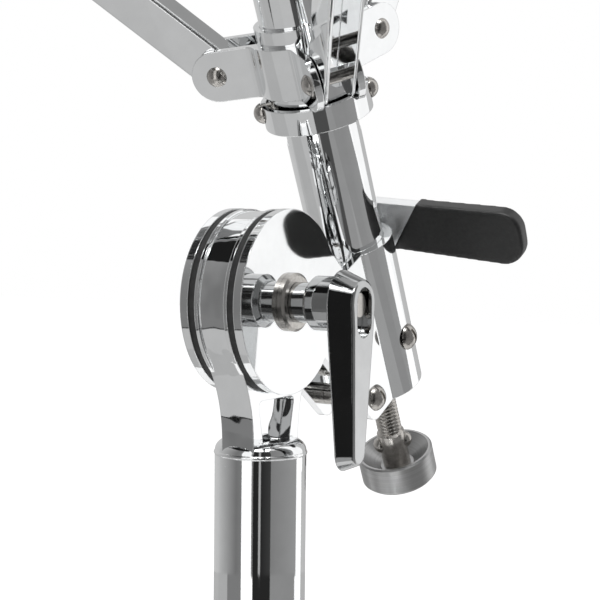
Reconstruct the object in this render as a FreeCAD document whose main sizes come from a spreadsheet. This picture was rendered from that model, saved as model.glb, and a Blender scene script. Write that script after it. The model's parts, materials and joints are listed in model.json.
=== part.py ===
import FreeCAD, Part
import Sketcher
import math
import os
import re
from FreeCAD import Placement, Rotation, Vector

# Snare drum stand: tripod base, height tube, tilter and a three-arm drum basket.
# Column axis is X = Y = 0 and the floor is Z = 0 until the last step, which moves the
# whole stand so that the origin is under the middle of its outline.

SIZES = {
    # fits, and how far a cut runs past what it cuts
    "fit_gap": 0.3,
    "slide_gap": 0.08,
    "seat_gap": 0.05,
    "cut_over": 2.0,
    # column
    "pivot_height": 470.0,
    "stem_tube_od": 25.4,
    "tube_wall": 1.5,
    "stem_tube_length": 240.0,
    "rim_drop": 44.6,
    "base_tube_low": 62.0,
    "clamp_drop": 140.0,
    "end_cap_thick": 4.0,
    "end_cap_spigot": 10.0,
    # height clamp on top of the base tube
    "clamp_wall": 4.6,
    "clamp_below": 32.0,
    "clamp_above": 14.0,
    "clamp_ear_reach": 36.0,
    "clamp_ear_width": 20.0,
    "clamp_slit": 3.0,
    "clamp_bolt_reach": 27.0,
    "clamp_edge_round": 2.0,
    "memory_wall": 5.0,
    "memory_height": 14.0,
    "memory_screw_radius": 2.5,
    "memory_head_side": 5.6,
    "memory_head_length": 7.0,
    # wing bolts
    "wing_shank_radius": 4.0,
    "wing_flange_radius": 6.5,
    "wing_flange_thick": 3.0,
    "wing_span": 38.0,
    "wing_rise": 20.0,
    "wing_thick": 5.0,
    # tripod
    "leg_length": 285.0,
    "leg_angle": 52.0,
    "leg_hinge_reach": 27.0,
    "leg_width": 14.0,
    "leg_strap": 2.0,
    "leg_spacing": 12.0,
    "leg_pin_radius": 3.0,
    "leg_pin_head": 5.0,
    "leg_pin_cap": 2.0,
    "foot_rise": 12.0,
    "foot_wall": 3.0,
    "foot_grip_length": 36.0,
    "foot_heel": 22.0,
    "foot_toe": 12.0,
    "foot_round": 2.5,
    "leg_hub_wall": 5.5,
    "leg_hub_height": 26.0,
    "leg_lug_radius": 6.5,
    "leg_hub_boss_radius": 6.5,
    "leg_hub_boss_rise": 5.0,
    "spider_wall": 4.0,
    "spider_height": 22.0,
    "spider_reach": 24.0,
    "spider_lug_width": 9.4,
    "spider_lug_radius": 5.5,
    "brace_thick": 3.0,
    "brace_width": 12.0,
    "brace_reach": 93.0,
    "brace_pin_radius": 2.5,
    "brace_pin_head": 4.2,
    "brace_pin_cap": 1.6,
    "brace_end_gap": 0.4,
    # tilter
    "drum_radius": 24.6,
    "drum_width": 10.2,
    "drum_lip_rise": 0.6,
    "drum_lip_width": 1.1,
    "neck_half_width": 11.6,
    "neck_rise": 6.6,
    "neck_sweep": 38.0,
    "shoulder_rim": 2.2,
    "shoulder_top_radius": 9.8,
    "plug_length": 30.0,
    "web_thick": 3.6,
    "pocket_half_low": 6.6,
    "pocket_half_high": 9.4,
    "pocket_low": 39.6,
    "pocket_high": 26.6,
    "pocket_round": 1.6,
    "friction_ring": 1.9,
    "friction_radius": 25.0,
    "cheek_thick": 2.5,
    "cheek_radius": 25.3,
    "tilter_bolt_radius": 4.0,
    "bolt_head_radius": 8.0,
    "bolt_head_rise": 3.6,
    # lever
    "washer_length": 2.0,
    "washer_base_radius": 8.0,
    "washer_tip_radius": 7.2,
    "lever_neck_radius": 5.5,
    "lever_neck_length": 4.9,
    "lever_boss_radius": 7.4,
    "lever_boss_length": 8.9,
    "lever_boss_chamfer": 1.3,
    "lever_top_thick": 6.6,
    "lever_tip_thick": 4.4,
    "lever_tip_step": 1.1,
    "lever_top_radius": 6.2,
    "lever_tip_radius": 2.9,
    "lever_top_rise": 0.4,
    "lever_length": 39.4,
    "lever_edge_round": 1.1,
    "lever_recess_radius": 4.0,
    "lever_recess_depth": 2.8,
    "lever_recess_rise": 0.8,
    "lever_recess_run": 5.4,
    "lever_draft": 22.0,
    "bolt_end_radius": 3.2,
    # basket tube and its bracket, in the tilted frame of the tube
    "tilt_angle": 26.2,
    "tube_offset": 50.8,
    "basket_tube_od": 22.2,
    "basket_tube_low": -58.0,
    "basket_tube_high": 112.0,
    "wrap_low": -57.0,
    "wrap_high": -6.8,
    "wrap_thick": 2.65,
    "notch_reach": 30.0,
    "lobe_reach": 27.6,
    "lobe_round": 5.0,
    "bracket_screw_reach": 31.6,
    "bracket_screw_place": -50.6,
    "bracket_screw_radius": 2.4,
    "bracket_head_radius": 4.1,
    "bracket_head_rise": 2.8,
    "spacer_radius": 3.3,
    "nut_screw_place": -40.0,
    "nut_screw_radius": 2.4,
    "nut_screw_head": 4.1,
    "nut_screw_rise": 2.6,
    "nut_screw_tip": 5.6,
    "nut_high": -30.0,
    "screw_slot": 1.0,
    # rubber-covered bar behind the tube
    "bar_thick": 4.0,
    "bar_left": -12.0,
    "bar_length": 62.0,
    "bar_left_top": 0.7,
    "bar_left_low": -13.4,
    "bar_right_top": -5.0,
    "bar_right_low": -21.4,
    "bar_end_round": 6.0,
    "sleeve_wall": 0.6,
    "sleeve_top_start": 18.0,
    "sleeve_low_start": 7.4,
    "bar_screw_place": -11.0,
    # adjuster under the tube
    "rod_radius": 4.0,
    "rod_smooth_radius": 4.5,
    "rod_smooth_high": -76.5,
    "adjuster_pin_place": -80.6,
    "adjuster_pin_radius": 2.6,
    "adjuster_pin_half": 6.4,
    "adjuster_pin_dome": 1.9,
    "knob_radius": 12.4,
    "knob_low": -93.7,
    "knob_height": 10.1,
    "knob_rim": 1.2,
    "knob_dish": 5.2,
    "knob_edge": 1.0,
    # carriage that slides on the tube
    "slide_block_low": 28.0,
    "slide_block_length": 20.0,
    "rod_seat_depth": 6.0,
    "cross_pin_place": 38.5,
    "cross_pin_radius": 2.6,
    "cross_pin_head": 3.1,
    "cross_pin_rise": 2.5,
    "pin_angle": 34.0,
    "slide_up": 10.0,
    "slide_down": 8.0,
    "collar_radius": 16.0,
    "collar_low": 33.8,
    "collar_height": 7.2,
    "collar_rim": 1.6,
    "collar_floor": 3.2,
    "sleeve_outer": 12.9,
    "sleeve_high": 63.4,
    # clevises, links and arms
    "hub_angle": 74.0,
    "strip_thick": 2.0,
    "strip_bend": 3.0,
    "clevis_gap": 10.0,
    "ear_height": 15.0,
    "link_reach": 25.5,
    "link_place": 51.5,
    "rivet_radius": 1.6,
    "rivet_head": 3.0,
    "rivet_rise": 1.7,
    "link_angle": 48.0,
    "link_length": 93.4,
    "link_height": 12.5,
    "link_wall": 1.2,
    "link_edge_round": 1.0,
    "arm_reach": 24.0,
    "arm_length": 160.0,
    "arm_wall": 2.0,
    "arm_above": 9.2,
    "arm_below": 6.0,
    "arm_web_start": 9.5,
    "arm_edge_round": 1.4,
    "hub_cap_radius": 15.0,
    "hub_cap_low": 112.0,
    "hub_cap_height": 17.0,
    "hub_cap_dome": 4.0,
    "hub_spigot": 12.0,
    "hub_lug_radius": 6.0,
    "top_pin_radius": 2.0,
    "top_pin_head": 3.4,
    "top_pin_cap": 1.6,
    "grip_start": 108.0,
    "grip_wall": 2.4,
    "grip_end": 9.0,
    "grip_hook_rise": 30.0,
    "grip_hook_thick": 8.0,
    "grip_round": 2.0,
}

# Places closer than this count as the same
SAME_PLACE = 0.001

doc = FreeCAD.newDocument("snare_drum_stand")
sheet = doc.addObject("Spreadsheet::Sheet", "sizes")
for row, (alias, number) in enumerate(SIZES.items(), start=1):
    sheet.set(f"A{row}", alias)
    sheet.set(f"B{row}", str(number))
    sheet.setAlias(f"B{row}", alias)
doc.recompute()

pieces = {}
WORD = re.compile(r"[A-Za-z_]+")


def formula(text):
    """The text of a size or a sum of sizes, with each size looked up in the sheet."""
    def lookup(match):
        word = match.group(0)
        return "sizes." + word if word in SIZES else word
    return WORD.sub(lookup, str(text))


def value(text):
    return float(sheet.evalExpression(formula(text)))


def bind(thing, prop, text):
    thing.setExpression(prop, formula(text))


# Sketches and features

def new_body(name):
    body = doc.addObject("PartDesign::Body", name)
    if "AllowCompound" in body.PropertiesList:
        body.AllowCompound = True
    return body


def origin_feature(body, role):
    return next(item for item in body.Origin.OriginFeatures if item.Role == role)


def new_sketch(body, plane, offset="0"):
    sketch = body.newObject("Sketcher::SketchObject", body.Name + "_sketch")
    sketch.AttachmentSupport = [(origin_feature(body, plane), "")]
    sketch.MapMode = "FlatFace"
    if offset != "0":
        bind(sketch, "AttachmentOffset.Base.z", offset)
    return sketch


def fix_point(sketch, geometry, place, across, up):
    """Tie one point of a sketch to its two sizes."""
    for kind, text, axis in (("DistanceX", across, -2), ("DistanceY", up, -1)):
        if abs(value(text)) < SAME_PLACE:
            sketch.addConstraint(Sketcher.Constraint("PointOnObject", geometry, place, axis))
            continue
        index = sketch.addConstraint(
            Sketcher.Constraint(kind, -1, 1, geometry, place, value(text)))
        bind(sketch, f"Constraints[{index}]", text)


def draw_polygon(sketch, points):
    """A closed outline. A point may also give the radius of the arc that leaves it, and the side, 1 for
    left or -1 for right, that the arc's centre is on."""
    count = len(points)
    spots = [Vector(value(point[0]), value(point[1]), 0) for point in points]
    first = sketch.GeometryCount
    ends = []
    for index, point in enumerate(points):
        here, there = spots[index], spots[(index + 1) % count]
        if len(point) == 2:
            sketch.addGeometry(Part.LineSegment(here, there))
            ends.append((1, 2))
            continue
        radius, side = value(point[2]), point[3]
        run = there - here
        middle = (here + there) / 2
        left = Vector(-run.y, run.x, 0).normalize()
        centre = middle + left * (side * math.sqrt(radius ** 2 - (run.Length / 2) ** 2))
        start, stop = (here, there) if side > 0 else (there, here)
        angles = [math.atan2(spot.y - centre.y, spot.x - centre.x) for spot in (start, stop)]
        circle = Part.Circle(centre, Vector(0, 0, 1), radius)
        arc = sketch.addGeometry(Part.ArcOfCircle(circle, angles[0], angles[1]))
        size = sketch.addConstraint(Sketcher.Constraint("Radius", arc, radius))
        bind(sketch, f"Constraints[{size}]", point[2])
        ends.append((1, 2) if side > 0 else (2, 1))
    for index in range(count):
        following = (index + 1) % count
        sketch.addConstraint(Sketcher.Constraint(
            "Coincident", first + index, ends[index][1], first + following, ends[following][0]))
    for index, point in enumerate(points):
        fix_point(sketch, first + index, ends[index][0], point[0], point[1])
    return sketch


def draw_circle(sketch, across, up, radius):
    centre = Vector(value(across), value(up), 0)
    index = sketch.addGeometry(Part.Circle(centre, Vector(0, 0, 1), value(radius)))
    fix_point(sketch, index, 3, across, up)
    size = sketch.addConstraint(Sketcher.Constraint("Radius", index, value(radius)))
    bind(sketch, f"Constraints[{size}]", radius)
    return sketch


def dome_radius(reach, rise):
    """The radius of a round cap that is as wide as twice its reach and as high as its rise."""
    return f"((({reach}) ^ 2 + ({rise}) ^ 2) / (2 * ({rise})))"


def draw_strap(sketch, start, end, near_radius, far_radius=None, downward=False):
    """A long outline with round ends, from start to end along the sketch's X axis or down its Y axis."""
    far_radius = far_radius or near_radius
    near, far = value(start), value(end)
    small, large = value(near_radius), value(far_radius)
    quarter = math.pi / 2
    heading = -quarter if downward else 0.0
    lean = math.asin((small - large) / (far - near))

    def ahead(distance, angle=0.0):
        return Vector(math.cos(heading + angle), math.sin(heading + angle), 0) * distance

    def end_arc(centre, radius, first_angle, last_angle):
        circle = Part.Circle(centre, Vector(0, 0, 1), radius)
        return Part.ArcOfCircle(circle, heading + first_angle, heading + last_angle)

    near_centre, far_centre = ahead(near), ahead(far)
    left, right = quarter - lean, lean - quarter
    first = sketch.addGeometry(
        Part.LineSegment(near_centre + ahead(small, right), far_centre + ahead(large, right)))
    sketch.addGeometry(end_arc(far_centre, large, right, left))
    sketch.addGeometry(
        Part.LineSegment(far_centre + ahead(large, left), near_centre + ahead(small, left)))
    sketch.addGeometry(end_arc(near_centre, small, left, 4 * quarter + right))
    for index in range(4):
        following = first + (index + 1) % 4
        sketch.addConstraint(Sketcher.Constraint("Tangent", first + index, 2, following, 1))
    for arc, centre, radius in ((first + 3, start, near_radius), (first + 1, end, far_radius)):
        across, up = ("0", f"-({centre})") if downward else (centre, "0")
        fix_point(sketch, arc, 3, across, up)
        index = sketch.addConstraint(Sketcher.Constraint("Radius", arc, value(radius)))
        bind(sketch, f"Constraints[{index}]", radius)
    return sketch


def add_feature(body, kind, sketch):
    feature = body.newObject("PartDesign::" + kind, body.Name + "_" + kind.lower())
    feature.Profile = sketch
    sketch.Visibility = False
    return feature


def pad(body, sketch, length, both_ways=False, backwards=False):
    feature = add_feature(body, "Pad", sketch)
    bind(feature, "Length", length)
    feature.SideType = "Symmetric" if both_ways else "One side"
    feature.Reversed = backwards
    return feature


def pocket(body, sketch, length, both_ways=True, backwards=False):
    """A cut; doc.recompute comes first so that its volume can be compared."""
    doc.recompute()
    before = body.Shape.Volume
    feature = add_feature(body, "Pocket", sketch)
    bind(feature, "Length", length)
    feature.SideType = "Symmetric" if both_ways else "One side"
    feature.Reversed = backwards
    doc.recompute()
    if body.Shape.Volume >= before:
        raise RuntimeError(f"{body.Name}: a pocket cut nothing")
    return feature


def turn(body, sketch, axis="V_Axis"):
    feature = add_feature(body, "Revolution", sketch)
    feature.ReferenceAxis = (sketch, [axis])
    feature.Angle = 360
    return feature


def turned_body(name, profile):
    """A body turned about its Z axis from (radius, height) points."""
    body = new_body(name)
    turn(body, draw_polygon(new_sketch(body, "XZ_Plane"), profile))
    return body


def cross_turned_body(name, profile):
    """A body turned about its X axis from (place, radius) points."""
    body = new_body(name)
    turn(body, draw_polygon(new_sketch(body, "XZ_Plane"), profile), "H_Axis")
    return body


def repeat_thrice(body, features):
    """Copies the features at three even turns about the body's Z axis."""
    pattern = body.newObject("PartDesign::PolarPattern", body.Name + "_pattern")
    pattern.Originals = features
    pattern.Axis = (origin_feature(body, "Z_Axis"), [""])
    pattern.Angle = 360
    pattern.Occurrences = 3
    body.Tip = pattern
    return pattern


def soften(body, radius, chosen):
    """Rounds the edges of the last feature that the test picks out."""
    doc.recompute()
    base = body.Tip
    names = [f"Edge{index}" for index, edge in enumerate(base.Shape.Edges, start=1) if chosen(edge)]
    if not names:
        raise RuntimeError(f"{body.Name}: no edge to round")
    feature = body.newObject("PartDesign::Fillet", body.Name + "_fillet")
    feature.Base = (base, names)
    bind(feature, "Radius", radius)
    return feature


def runs_along(edge, axis):
    """True for a straight edge along one axis, 0 for X, 1 for Y and 2 for Z."""
    if not isinstance(edge.Curve, Part.Line):
        return False
    return abs(abs(edge.Curve.Direction[axis]) - 1) < SAME_PLACE


# Solids made from primitives, for holes and small pins

def cylinder(name, radius, length, start, direction):
    rod = doc.addObject("Part::Cylinder", name)
    bind(rod, "Radius", radius)
    bind(rod, "Height", length)
    place = Vector(*(value(text) for text in start))
    rod.Placement = Placement(place, Rotation(Vector(0, 0, 1), direction))
    return rod


def cut(name, base, tool):
    result = doc.addObject("Part::Cut", name)
    result.Base = base
    result.Tool = tool
    return result


def fuse(name, shapes):
    result = doc.addObject("Part::MultiFuse", name)
    result.Shapes = shapes
    return result


def group(name, shapes):
    result = doc.addObject("Part::Compound", name)
    result.Links = shapes
    return result


# Frames of the stand

ALONG_X = Vector(1, 0, 0)
ALONG_Y = Vector(0, 1, 0)
ALONG_Z = Vector(0, 0, 1)
stand = Placement()
at_pivot = Placement(Vector(0, 0, value("pivot_height")), Rotation())
basket = at_pivot * Placement(Vector(), Rotation(ALONG_X, value("tilt_angle")))
tube_axis = basket * Placement(Vector(0, value("tube_offset"), 0), Rotation())
LEG_TURNS = [90, 210, 330]
HUB_TURNS = [value("hub_angle") + turn_by for turn_by in (0, 120, 240)]


def about_z(angle):
    return Placement(Vector(), Rotation(ALONG_Z, angle))


def moved(along, rise):
    return Placement(Vector(value(along), 0, value(rise)), Rotation())


def tipped(angle):
    """Lifts the X axis towards Z."""
    return Placement(Vector(), Rotation(ALONG_Y, -angle))


def keep(thing, label, frame):
    thing.Label = label
    thing.Placement = frame * thing.Placement
    pieces[label] = thing


# Column: tubes, end cap, height clamp and memory collar

STEM_RADIUS = "stem_tube_od / 2"
BASE_BORE = "(stem_tube_od / 2 + slide_gap)"
BASE_RADIUS = "(stem_tube_od / 2 + slide_gap + tube_wall)"
BASE_HIGH = "(pivot_height - clamp_drop)"
STEM_TOP = "(pivot_height - rim_drop)"
CLAMP_TOP = f"({BASE_HIGH} + clamp_above)"
CLAMP_MIDDLE = f"({BASE_HIGH} - clamp_below / 2 + clamp_above / 2)"


def tube_profile(bore, radius, low, high):
    return [(bore, low), (radius, low), (radius, high), (bore, high)]


def make_column():
    keep(turned_body("base_tube", tube_profile(BASE_BORE, BASE_RADIUS, "base_tube_low", BASE_HIGH)),
         "base_tube", stand)
    stem_low = f"{STEM_TOP} - stem_tube_length"
    wall = tube_profile(f"{STEM_RADIUS} - tube_wall", STEM_RADIUS, stem_low, STEM_TOP)
    keep(turned_body("stem_tube", wall),
         "stem_tube", stand)
    spigot = f"{BASE_BORE} - seat_gap"
    keep(turned_body("end_cap", [
        ("0", "base_tube_low - end_cap_thick"),
        (f"{BASE_RADIUS} - end_cap_thick / 2", "base_tube_low - end_cap_thick"),
        (BASE_RADIUS, "base_tube_low - end_cap_thick / 2"),
        (BASE_RADIUS, "base_tube_low"),
        (spigot, "base_tube_low"),
        (spigot, "base_tube_low + end_cap_spigot"),
        ("0", "base_tube_low + end_cap_spigot"),
    ]), "tube_end_cap", stand)


def make_clamp():
    body = new_body("clamp")
    outer = f"({BASE_RADIUS} + clamp_wall)"
    low = f"({BASE_HIGH} - clamp_below)"
    height = "(clamp_below + clamp_above)"
    ring = [("0", low), (outer, low), (outer, f"{low} + {height}"), ("0", f"{low} + {height}")]
    turn(body, draw_polygon(new_sketch(body, "XZ_Plane"), ring))
    ear = [
        ("0", "-clamp_ear_width / 2"),
        ("clamp_ear_reach", "-clamp_ear_width / 2"),
        ("clamp_ear_reach", "clamp_ear_width / 2"),
        ("0", "clamp_ear_width / 2"),
    ]
    pad(body, draw_polygon(new_sketch(body, "XY_Plane", low), ear), height)
    ear_face = value("clamp_ear_reach")
    soften(body, "clamp_edge_round", lambda edge: edge.BoundBox.XMin > ear_face - SAME_PLACE)
    tube_room = draw_circle(new_sketch(body, "XY_Plane", CLAMP_MIDDLE), "0", "0", f"{BASE_RADIUS} + seat_gap")
    pocket(body, tube_room,
           f"{height} + cut_over")
    slit = [
        ("tube_wall", "-clamp_slit / 2"),
        ("clamp_ear_reach + cut_over", "-clamp_slit / 2"),
        ("clamp_ear_reach + cut_over", "clamp_slit / 2"),
        ("tube_wall", "clamp_slit / 2"),
    ]
    pocket(body, draw_polygon(new_sketch(body, "XY_Plane", CLAMP_MIDDLE), slit), f"{height} + cut_over")
    hole = draw_circle(new_sketch(body, "XZ_Plane"), "clamp_bolt_reach", CLAMP_MIDDLE,
                       "wing_shank_radius + slide_gap")
    pocket(body, hole, "clamp_ear_width + cut_over")
    keep(body, "height_clamp", stand)
    keep(turned_body("bush", tube_profile(f"{STEM_RADIUS} + slide_gap", BASE_RADIUS, BASE_HIGH, CLAMP_TOP)),
         "clamp_bush", stand)
    place = Vector(value("clamp_bolt_reach"), value("clamp_ear_width / 2"), value(CLAMP_MIDDLE))
    bolt = make_wing_bolt("clamp_bolt", "clamp_ear_width + wing_flange_thick", "fit_gap")
    keep(bolt, "clamp_wing_bolt", Placement(place, Rotation(ALONG_Z, ALONG_Y)))


def make_wing_bolt(name, shank, gap):
    """A bolt along Z with its seat at Z = 0, a round flange above it and two wings."""
    body = turned_body(name, [
        ("0", f"-({shank})"),
        ("wing_shank_radius", f"-({shank})"),
        ("wing_shank_radius", gap),
        ("wing_flange_radius", gap),
        ("wing_flange_radius", f"{gap} + wing_flange_thick"),
        ("wing_shank_radius", f"{gap} + wing_flange_thick * 2"),
        ("0", f"{gap} + wing_flange_thick * 2"),
    ])
    root_share, shoulder_share, tip_share = 0.28, 0.62, 0.72
    low = f"{gap} + wing_flange_thick / 2"
    wings = [
        (f"-wing_span / 2 * {root_share}", low),
        (f"wing_span / 2 * {root_share}", low),
        ("wing_span / 2", f"{low} + wing_rise * {shoulder_share}"),
        ("wing_span / 2", f"{low} + wing_rise"),
        (f"wing_span / 2 * {tip_share}", f"{low} + wing_rise"),
        ("0", f"{low} + wing_rise * {root_share}"),
        (f"-wing_span / 2 * {tip_share}", f"{low} + wing_rise"),
        ("-wing_span / 2", f"{low} + wing_rise"),
        ("-wing_span / 2", f"{low} + wing_rise * {shoulder_share}"),
    ]
    pad(body, draw_polygon(new_sketch(body, "XZ_Plane"), wings), "wing_thick", both_ways=True)
    full_share = 0.9

    def on_wing_side(edge):
        return runs_along(edge, 1) and edge.Length > value("wing_thick") * full_share

    soften(body, "wing_thick / 4", on_wing_side)
    return body


def make_memory_collar():
    low = f"({CLAMP_TOP} + fit_gap)"
    outer = f"({STEM_RADIUS} + memory_wall)"
    wall = tube_profile(f"{STEM_RADIUS} + seat_gap", outer, low, f"{low} + memory_height")
    body = turned_body("memory", wall)
    soften(body, "memory_wall / 4", lambda edge: edge.BoundBox.XLength > value(outer) * 2 - SAME_PLACE)
    middle = f"{low} + memory_height / 2"
    hole = draw_circle(new_sketch(body, "YZ_Plane", STEM_RADIUS), "0", middle,
                       "memory_screw_radius + seat_gap")
    pocket(body, hole, "memory_wall * 2", both_ways=True)
    keep(body, "memory_collar", stand)
    shank = cylinder("memory_shank", "memory_screw_radius", "memory_wall - seat_gap + cut_over",
                     (f"{STEM_RADIUS} + seat_gap * 2", "0", middle), ALONG_X)
    head = doc.addObject("Part::Box", "memory_head")
    bind(head, "Length", "memory_head_length")
    bind(head, "Width", "memory_head_side")
    bind(head, "Height", "memory_head_side")
    side = value("memory_head_side")
    head.Placement.Base = Vector(value(f"{outer} + seat_gap"), -side / 2, value(middle) - side / 2)
    keep(fuse("memory_screw", [shank, head]), "memory_collar_screw", stand)


# Tripod

LEG_HINGE = "(leg_length * cos(leg_angle) + foot_rise)"
SPIDER_HINGE = "(base_tube_low + spider_height / 2)"
LEG_OUTER = "(leg_spacing + leg_strap * 2)"


def lugged_ring(name, middle, wall, height):
    """A solid disc about Z that becomes a hub ring once its lugs are on and its bore is cut."""
    body = new_body(name)
    outer = f"({BASE_RADIUS} + {wall})"
    low, high = f"{middle} - {height} / 2", f"{middle} + {height} / 2"
    section = [("0", low), (outer, low), (outer, high), ("0", high)]
    turn(body, draw_polygon(new_sketch(body, "XZ_Plane"), section))
    return body


def bore_ring(body, middle, bore, height):
    pocket(body, draw_circle(new_sketch(body, "XY_Plane", middle), "0", "0", bore), f"{height} + cut_over")


def make_leg_hub():
    body = lugged_ring("leg_hub", LEG_HINGE, "leg_hub_wall", "leg_hub_height")
    lug = new_sketch(body, "XZ_Plane")
    draw_polygon(lug, [
        ("0", f"{LEG_HINGE} - leg_lug_radius"),
        ("leg_hinge_reach", f"{LEG_HINGE} - leg_lug_radius"),
        ("leg_hinge_reach", f"{LEG_HINGE} + leg_lug_radius"),
        ("0", f"{LEG_HINGE} + leg_lug_radius"),
    ])
    lug_pad = pad(body, lug, "leg_spacing - fit_gap * 2", both_ways=True)
    nose = draw_circle(new_sketch(body, "XZ_Plane"), "leg_hinge_reach", LEG_HINGE, "leg_lug_radius")
    nose_pad = pad(body, nose, "leg_spacing - fit_gap * 2", both_ways=True)
    doc.recompute()
    repeat_thrice(body, [lug_pad, nose_pad])
    boss = draw_circle(new_sketch(body, "YZ_Plane"), "0", LEG_HINGE, "leg_hub_boss_radius")
    pad(body, boss, f"{BASE_RADIUS} + leg_hub_wall + leg_hub_boss_rise", backwards=True)
    bore_ring(body, LEG_HINGE, f"{BASE_RADIUS} + slide_gap", "leg_hub_height")
    screw = draw_circle(new_sketch(body, "YZ_Plane"), "0", LEG_HINGE, "wing_shank_radius + slide_gap")
    pocket(body, screw, "leg_hinge_reach * 2", both_ways=False)
    tools = []
    for turn_by in (0, 120, 240):
        hole = cylinder("leg_pin_hole", "leg_pin_radius + seat_gap", f"{LEG_OUTER} + cut_over",
                        ("leg_hinge_reach", f"-{LEG_OUTER} / 2 - cut_over / 2", LEG_HINGE), ALONG_Y)
        hole.Placement = about_z(turn_by) * hole.Placement
        tools.append(hole)
    keep(cut("leg_hub_drilled", body, fuse("leg_pin_holes", tools)), "leg_hub", about_z(LEG_TURNS[0]))
    bolt = make_wing_bolt("hub_bolt", "leg_hub_wall + leg_hub_boss_rise - fit_gap", "fit_gap")
    face = value(f"{BASE_RADIUS} + leg_hub_wall + leg_hub_boss_rise")
    place = Placement(Vector(-face, 0, value(LEG_HINGE)), Rotation(ALONG_Z, -ALONG_X))
    keep(bolt, "leg_hub_wing_bolt", about_z(LEG_TURNS[0]) * place)
    keep(pin_ring("leg_pin", "leg_hinge_reach", LEG_HINGE, LEG_OUTER, "leg_pin_radius", "leg_pin_head",
                  "leg_pin_cap", "fit_gap", LEG_TURNS), "leg_hinge_pins", stand)


def headed_pin(name, span, radius, head, cap, gap):
    """A pin along Y with a low domed head past each end of the span that it crosses."""
    seat = f"({span} / 2 + {gap})"
    body = new_body(name)
    dome = dome_radius(head, cap)
    profile = [
        ("0", f"-{seat} - {cap}", dome, 1),
        (head, f"-{seat}"),
        (radius, f"-{seat}"),
        (radius, seat),
        (head, seat, dome, 1),
        ("0", f"{seat} + {cap}"),
    ]
    turn(body, draw_polygon(new_sketch(body, "XY_Plane"), profile))
    return body


def pin_ring(name, reach, height, span, radius, head, cap, gap, turns):
    """Three pins, one across each lug of a hub."""
    pins = []
    for turn_by in turns:
        pin = headed_pin(name, span, radius, head, cap, gap)
        pin.Placement = about_z(turn_by) * moved(reach, height)
        pins.append(pin)
    return group(name + "_group", pins)


def make_spider():
    body = lugged_ring("spider", SPIDER_HINGE, "spider_wall", "spider_height")
    lug = new_sketch(body, "XZ_Plane")
    draw_polygon(lug, [
        ("0", f"{SPIDER_HINGE} - spider_lug_radius"),
        ("spider_reach", f"{SPIDER_HINGE} - spider_lug_radius"),
        ("spider_reach", f"{SPIDER_HINGE} + spider_lug_radius"),
        ("0", f"{SPIDER_HINGE} + spider_lug_radius"),
    ])
    lug_pad = pad(body, lug, "spider_lug_width", both_ways=True)
    nose = draw_circle(new_sketch(body, "XZ_Plane"), "spider_reach", SPIDER_HINGE, "spider_lug_radius")
    nose_pad = pad(body, nose, "spider_lug_width", both_ways=True)
    repeat_thrice(body, [lug_pad, nose_pad])
    bore_ring(body, SPIDER_HINGE, f"{BASE_RADIUS} + seat_gap", "spider_height")
    tools = []
    for turn_by in (0, 120, 240):
        hole = cylinder("brace_pin_hole", "brace_pin_radius + seat_gap", "spider_lug_width + cut_over",
                        ("spider_reach", "-spider_lug_width / 2 - cut_over / 2", SPIDER_HINGE), ALONG_Y)
        slot = doc.addObject("Part::Box", "brace_slot")
        bind(slot, "Length", "brace_width + spider_lug_radius")
        bind(slot, "Width", "brace_thick + fit_gap * 2")
        bind(slot, "Height", "spider_height + cut_over")
        slot.Placement.Base = Vector(value("spider_reach - brace_width / 2 - fit_gap"),
                                     value("-brace_thick / 2 - fit_gap"),
                                     value(f"{SPIDER_HINGE} - spider_height / 2 - cut_over / 2"))
        for tool in (hole, slot):
            tool.Placement = about_z(turn_by) * tool.Placement
            tools.append(tool)
    keep(cut("spider_slotted", body, fuse("spider_tools", tools)), "lower_spider", about_z(LEG_TURNS[0]))
    keep(pin_ring("brace_pin", "spider_reach", SPIDER_HINGE, "spider_lug_width", "brace_pin_radius",
                  "brace_pin_head", "brace_pin_cap", "seat_gap", LEG_TURNS), "brace_hinge_pins", stand)


def make_strap_pair(name, grow, holes):
    """The two straps of a leg along X from its hinge; grow makes the space that they fill in the foot."""
    straps = []
    for side in (1, -1):
        body = new_body(name)
        middle = f"{side} * (leg_spacing / 2 + leg_strap / 2)"
        outline = new_sketch(body, "XZ_Plane", middle)
        draw_strap(outline, "0", "leg_length", f"leg_width / 2 + {grow}")
        if holes:
            draw_circle(outline, "0", "0", "leg_pin_radius + slide_gap")
        pad(body, outline, f"leg_strap + {grow} * 2", both_ways=True)
        straps.append(body)
    return straps


def make_leg_rivets(name):
    """Shouldered rivets that hold the brace's end between the straps, one in each strap."""
    rivets = []
    for side in (1, -1):
        body = new_body(name)
        inner = "(brace_thick / 2 + brace_end_gap)"
        strap = "leg_spacing / 2"
        profile = [
            ("0", inner),
            ("brace_pin_head", inner),
            ("brace_pin_head", strap),
            ("0", strap),
        ]
        turn(body, draw_polygon(new_sketch(body, "XY_Plane"), profile))
        head = [
            ("0", f"{strap} + leg_strap"),
            ("leg_pin_head", f"{strap} + leg_strap", dome_radius("leg_pin_head", "leg_pin_cap"), 1),
            ("0", f"{strap} + leg_strap + leg_pin_cap"),
        ]
        cap = new_body(name + "_cap")
        turn(cap, draw_polygon(new_sketch(cap, "XY_Plane"), head))
        turn_over = Placement(Vector(), Rotation(ALONG_X, 0 if side > 0 else 180))
        for part in (body, cap):
            part.Placement = moved("brace_reach", "0") * turn_over
            rivets.append(part)
    return rivets


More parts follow.
